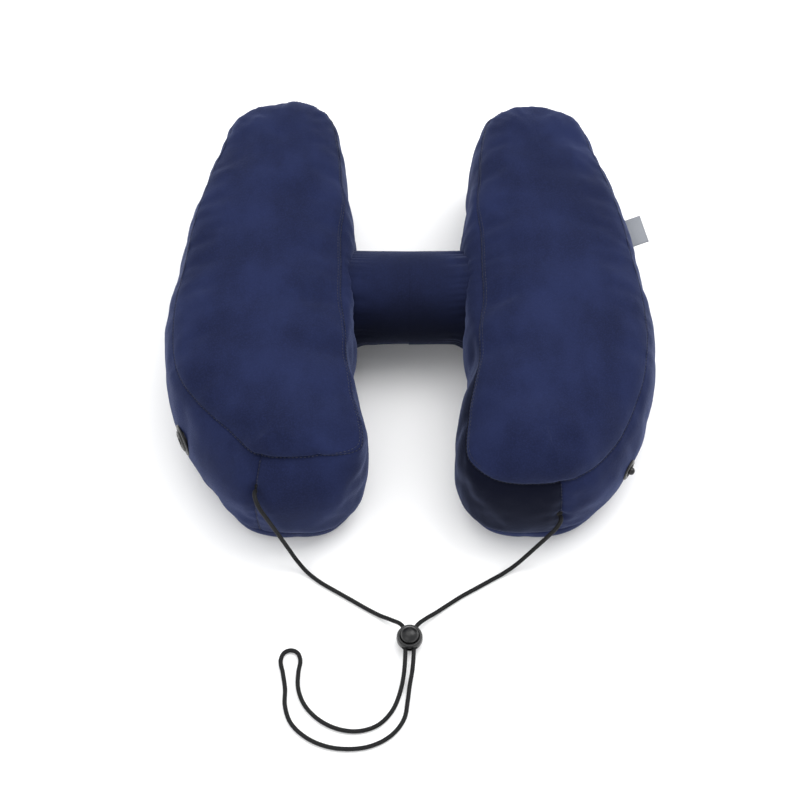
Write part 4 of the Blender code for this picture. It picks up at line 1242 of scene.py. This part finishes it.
def row_tree():
    """Thread ends or coil turns laid evenly along lines of points."""
    tree = bpy.data.node_groups.new(ROW_TREE, "GeometryNodeTree")
    face = tree.interface
    face.new_socket("Line", in_out="INPUT", socket_type="NodeSocketGeometry")
    for name, default in (("Pitch", 0.0029), ("Length", 0.0019), ("Thickness", 0.00042)):
        face.new_socket(name, in_out="INPUT", socket_type="NodeSocketFloat").default_value = default
    face.new_socket("Material", in_out="INPUT", socket_type="NodeSocketMaterial")
    face.new_socket("Row", in_out="OUTPUT", socket_type="NodeSocketGeometry")

    def add(kind, settings=(), **values):
        made = tree.nodes.new(kind)
        for key, value in settings:
            setattr(made, key, value)
        for key, value in values.items():
            made.inputs[key].default_value = value
        return made

    start, end = add("NodeGroupInput"), add("NodeGroupOutput")
    to_curve = add("GeometryNodeMeshToCurve")
    evenly = add("GeometryNodeResampleCurve", [("mode", "LENGTH")])
    tangent = add("GeometryNodeInputTangent")
    turn = add("FunctionNodeAlignRotationToVector", [("axis", "Z")])
    ball = add("GeometryNodeMeshUVSphere", Segments=8, Rings=6, Radius=0.5)
    size = add("ShaderNodeCombineXYZ")
    shape = add("GeometryNodeTransform")
    lay = add("GeometryNodeInstanceOnPoints")
    real = add("GeometryNodeRealizeInstances")
    dress = add("GeometryNodeSetMaterial")
    wires = ((start, "Line", to_curve, "Mesh"), (to_curve, "Curve", evenly, "Curve"),
             (start, "Pitch", evenly, "Length"), (tangent, "Tangent", turn, "Vector"),
             (start, "Thickness", size, "X"), (start, "Thickness", size, "Y"),
             (start, "Length", size, "Z"), (ball, "Mesh", shape, "Geometry"),
             (size, "Vector", shape, "Scale"), (evenly, "Curve", lay, "Points"),
             (shape, "Geometry", lay, "Instance"), (turn, "Rotation", lay, "Rotation"),
             (lay, "Instances", real, "Geometry"), (real, "Geometry", dress, "Geometry"),
             (start, "Material", dress, "Material"), (dress, "Geometry", end, "Row"))
    for source, output, target, socket in wires:
        tree.links.new(source.outputs[output], target.inputs[socket])
    return tree


def along_line(name, lines, material, **values):
    """Repeat the row tree's shape along each line of points, as one plain mesh."""
    tree = bpy.data.node_groups.get(ROW_TREE) or row_tree()
    vertices, edges = [], []
    for line in lines:
        first = len(vertices)
        vertices.extend(map(tuple, line))
        edges.extend((first + i, first + i + 1) for i in range(len(line) - 1))
    mesh = bpy.data.meshes.new(name)
    mesh.from_pydata(vertices, edges, [])
    piece = bpy.data.objects.new(name, mesh)
    bpy.context.scene.collection.objects.link(piece)
    step = piece.modifiers.new("repeat", "NODES")
    step.node_group = tree
    sockets = {item.name: item.identifier for item in tree.interface.items_tree
               if item.item_type == "SOCKET" and item.in_out == "INPUT"}
    for key, value in {**values, "Material": material}.items():
        step[sockets[key]] = value
    settle(piece)
    piece.data.shade_smooth()
    return piece


class PILLOW_OT_stitches(bpy.types.Operator):
    """Run the sewing thread along every seam of the wings"""
    bl_idname = "pillow.stitches"
    bl_label = "Stitches"

    def execute(self, context):
        sizes = context.scene.pillow_sizes
        for side in ("left", "right"):
            lines = []
            for name, (points, normal) in seam_lines[side].items():
                lift = 0.00022 if name == "topstitch" else 0.00075
                line = points + normal * lift
                if name in ("top", "base"):
                    line = np.concatenate([line, line[:1]])
                else:
                    line = line[4:-4]
                lines.append(line)
            piece = along_line(f"{side}_stitches", lines, finish("thread"), Pitch=sizes.stitch_pitch,
                               Length=sizes.stitch_pitch * STITCH_SHARE)
            hand_over(piece, f"{side}_wing", "velour")
        return {"FINISHED"}


# ---------------------------------------------------------------- zip
def swept(name, outline, first, last, steps, z=ZIP_Z):
    """A closed outline of (up, out) points carried along the zip's arc, with its own map."""
    bm = bmesh.new()
    layer = bm.loops.layers.uv.new("UVMap")
    rings = []
    for k in range(steps + 1):
        at = zip_matrix(first + (last - first) * k / steps, z)
        rings.append([bm.verts.new(at @ Vector((0, up, out))) for up, out in outline])
    step = (last - first) * OUTER_ARC_RADIUS / steps
    for k in range(steps):
        for i, (up, _) in enumerate(outline):
            j = (i + 1) % len(outline)
            face = bm.faces.new((rings[k][i], rings[k][j], rings[k + 1][j], rings[k + 1][i]))
            corners = ((k, up), (k, outline[j][0]), (k + 1, outline[j][0]), (k + 1, up))
            for loop, (turn, height) in zip(face.loops, corners):
                loop[layer].uv = (turn * step, height)
    bm.faces.new(rings[0])
    bm.faces.new(rings[-1])
    bmesh.ops.recalc_face_normals(bm, faces=bm.faces)
    return mesh_of(name, bm)


def arc_line(up, out, first, last, count):
    return [zip_matrix(first + (last - first) * k / count, ZIP_Z) @ Vector((0, up, out))
            for k in range(count + 1)]


class PILLOW_OT_zip(bpy.types.Operator):
    """Set the zip into the right wing: two tapes, their coils, the slider and its pull"""
    bl_idname = "pillow.zip"
    bl_label = "Zip"

    def execute(self, context):
        sizes = context.scene.pillow_sizes
        tape = [(0.0003, -0.0018), (0.0003, -0.0010), (0.0019, -0.0008), (0.0062, -0.0005),
                (0.0066, -0.0007), (0.0066, -0.0013), (0.0019, -0.0016)]
        for name, sign in (("upper", 1), ("lower", -1)):
            outline = [(sign * up, out) for up, out in tape]
            piece = new_piece(f"zip_{name}_ribbon", swept(f"zip_{name}_ribbon", outline, ZIP_START,
                                                          ZIP_END, 90), "tape")
            piece.data.set_sharp_from_angle(angle=math.radians(50))
            hand_over(piece, "right_wing", "zip_tape", f"zip_{name}_tape")
            row = arc_line(sign * 0.00095, -0.0003, ZIP_START, ZIP_END, 60)
            coil = along_line(f"zip_{name}_coil", [row], finish("plastic"), Pitch=sizes.tooth_pitch,
                              Length=sizes.tooth_pitch * COIL_SHARE, Thickness=COIL_THICK)
            hand_over(coil, "right_wing", "zip_tape")
        at = zip_matrix(SLIDER_ANGLE, ZIP_Z)
        reach = math.radians(0.47)
        channel = [(-0.0023, 0.0007), (-0.0023, -0.0002), (-0.0034, -0.0002), (-0.0036, 0.0001),
                   (-0.0036, 0.0015), (-0.0031, 0.0020), (0.0031, 0.0020), (0.0036, 0.0015),
                   (0.0036, 0.0001), (0.0034, -0.0002), (0.0023, -0.0002), (0.0023, 0.0007)]
        slider = new_piece("slider", swept("slider", channel, SLIDER_ANGLE - reach,
                                           SLIDER_ANGLE + reach, 8), "plastic")
        carve(slider, (box_mesh("crown", at, (0.0072, 0.0016, 0.0028), (0, 0, 0.0030), 0.0005), "UNION"),
              (box_mesh("eye", at, (0.0052, 0.0060, 0.0017), (0, 0, 0.00275)), "DIFFERENCE"))
        hand_over(slider, "zip_slider", "black_plastic", "zip_slider")
        pull = new_piece("pull", box_mesh("pull", at, (0.0186, 0.0048, 0.0012), (0.0087, 0, 0.0027),
                                          0.00045), "plastic")
        ribs = [(box_mesh("rib", at, (0.0007, 0.0034, 0.0008), (0.0095 + 0.0016 * k, 0, 0.0034), 0.0002),
                 "UNION") for k in range(4)]
        carve(pull, (box_mesh("eye", at, (0.0044, 0.0022, 0.0040), (0.0028, 0, 0.0027)), "DIFFERENCE"),
              *ribs)
        hand_over(pull, "zip_pull", "black_plastic", "zip_pull")
        return {"FINISHED"}


# ---------------------------------------------------------------- label
class PILLOW_OT_label(bpy.types.Operator):
    """Fold the blank woven label and sew it in beside the zip"""
    bl_idname = "pillow.label"
    bl_label = "Label"

    def execute(self, context):
        at = zip_matrix(LABEL_ANGLE, LABEL_Z) @ Matrix.Rotation(-LABEL_TILT, 4, "X")
        bm = bmesh.new()
        layer = bm.loops.layers.uv.new("UVMap")
        ply, columns, fold = LABEL_THICK * 0.42, 28, 0.0006
        straight = LABEL_WIDTH - fold
        turns = [(-ply, out) for out in np.linspace(0, straight, 20)]
        turns += [(-ply * math.cos(a), straight + fold * math.sin(a))
                  for a in np.linspace(0, math.pi, 9)[1:-1]]
        turns += [(ply, out) for out in np.linspace(straight, 0, 20)]
        rows = []
        for up, out in turns:
            row = []
            for k in range(columns + 1):
                x = LABEL_LENGTH * (k / columns - 0.5)
                curl = 0.0011 * (x / LABEL_LENGTH * 2) ** 2 * out / LABEL_WIDTH
                droop = -0.0009 * (out / LABEL_WIDTH) ** 2
                row.append(bm.verts.new(at @ Vector((x, up + curl + droop, out + 0.0006))))
            rows.append(row)
        for r, (low, high) in enumerate(zip(rows, rows[1:])):
            for k in range(columns):
                face = bm.faces.new((low[k], low[k + 1], high[k + 1], high[k]))
                places = ((k, r), (k + 1, r), (k + 1, r + 1), (k, r + 1))
                for loop, (column, row) in zip(face.loops, places):
                    loop[layer].uv = (column * LABEL_LENGTH / columns, turns[row][1])
        bmesh.ops.recalc_face_normals(bm, faces=bm.faces)
        piece = new_piece("woven_label", mesh_of("woven_label", bm), "label")
        thickened(piece, LABEL_PLY)
        hand_over(piece, "right_wing", "label_tape", "side_label")
        rows = [[at @ Vector((x, up, 0.0022)) for x in np.linspace(-0.0122, 0.0122, 12)]
                for up in (-0.0005, 0.0005)]
        thread = along_line("label_stitches", rows, finish("thread"), Pitch=0.0022, Length=0.0014)
        hand_over(thread, "right_wing", "velour")
        return {"FINISHED"}


# ---------------------------------------------------------------- valves
class PILLOW_OT_valves(bpy.types.Operator):
    """Fit the inflation cap, the release button and their grommets"""
    bl_idname = "pillow.valves"
    bl_label = "Valves"

    def execute(self, context):
        for side in ("left", "right"):
            at = wall_matrix(side, *VALVE[side])
            name = f"{side}_grommet"
            neck = VALVE_HOLE[side] - 0.0004
            mouth = neck - 0.0016
            grommet = [(neck, -0.0024), (neck, 0.0003), (neck + 0.0017, 0.0003), (neck + 0.0020, 0.0008),
                       (neck + 0.0014, 0.0015), (neck + 0.0005, 0.0019), (mouth + 0.0006, 0.0019),
                       (mouth, 0.0014), (mouth, -0.0024)]
            ring = new_piece(name, lathe(name, at, rounded(grommet, 0.0003)), "plastic")
            hand_over(ring, f"{side}_wing", "black_plastic", f"{side}_valve_grommet")
        at = wall_matrix("left", *VALVE["left"])
        cap = [(0.0, -0.0060), (0.0046, -0.0060), (0.0051, -0.0052), (0.0051, 0.0008), (0.0086, 0.0008),
               (0.0088, 0.0018), (0.0082, 0.0029), (0.0066, 0.0036), (0.0058, 0.0034), (0.0050, 0.0030),
               (0.0030, 0.0031), (0.0, 0.0032)]
        piece = new_piece("inflation_cap", lathe("inflation_cap", at, rounded(cap, 0.0005)), "plastic")
        carve(piece, (box_mesh("tab", at, (0.0046, 0.0030, 0.0010), (0.0, 0.0, 0.0035), 0.0004), "UNION"))
        hand_over(piece, "inflation_cap", "black_plastic", "inflation_valve_cap")
        at = wall_matrix("right", *VALVE["right"])
        dome = [(0.0029 * math.cos(a) ** 0.8, 0.0026 + 0.0029 * math.sin(a))
                for a in np.linspace(0, math.pi / 2, 12)[:-1]]
        button = [(0.0, -0.0142), (0.0009, -0.0142), (0.0009, -0.0006), (0.0027, -0.0006),
                  (0.0029, 0.0000), *dome, (0.0, 0.0055)]
        piece = new_piece("release_button", lathe("release_button", at, button), "plastic")
        hand_over(piece, "release_button", "black_plastic", "release_valve_button")
        return {"FINISHED"}


# ---------------------------------------------------------------- finishes of the frame's own nodes
NODE_FINISHES = {"air_chamber": "film", "air_tube": "film", "cord_anchor": "braid",
                 "valve_body": "vinyl", "valve_flap": "vinyl", "valve_disc": "vinyl", "spring": "steel"}


class PILLOW_OT_inner_parts(bpy.types.Operator):
    """Finish the air chambers, valve sockets and springs"""
    bl_idname = "pillow.inner_parts"
    bl_label = "Inner parts"

    def execute(self, context):
        for name, node in nodes.items():
            for ending, kind in NODE_FINISHES.items():
                if name.endswith(ending):
                    for place in node.material_slots:
                        place.material = finish(kind)
        return {"FINISHED"}


# ---------------------------------------------------------------- panel and registration
STEPS = (PILLOW_OT_stage, PILLOW_OT_ball_lock, PILLOW_OT_drawcord, PILLOW_OT_wing_covers,
         PILLOW_OT_bridge_sleeve, PILLOW_OT_stitches, PILLOW_OT_zip, PILLOW_OT_label, PILLOW_OT_valves,
         PILLOW_OT_inner_parts)


class PILLOW_PT_panel(bpy.types.Panel):
    """Everything that makes the pillow"""
    bl_label = "Neck Pillow"
    bl_idname = "PILLOW_PT_panel"
    bl_space_type = "VIEW_3D"
    bl_region_type = "UI"
    bl_category = "Neck Pillow"

    def draw(self, context):
        for step in STEPS:
            self.layout.operator(step.bl_idname)
        for group in (context.scene.pillow_sizes, context.scene.pillow_colours):
            box = self.layout.box()
            for key in group.__annotations__:
                box.prop(group, key)


CLASSES = (PillowSizes, PillowColours, *STEPS, PILLOW_PT_panel)


def register():
    for each in CLASSES:
        bpy.utils.register_class(each)
    bpy.types.Scene.pillow_sizes = bpy.props.PointerProperty(type=PillowSizes)
    bpy.types.Scene.pillow_colours = bpy.props.PointerProperty(type=PillowColours)


def unregister():
    del bpy.types.Scene.pillow_colours
    del bpy.types.Scene.pillow_sizes
    for each in reversed(CLASSES):
        bpy.utils.unregister_class(each)


def main():
    register()
    for step in STEPS:
        group, name = step.bl_idname.split(".")
        getattr(getattr(bpy.ops, group), name)()


if __name__ == "__main__":
    main()
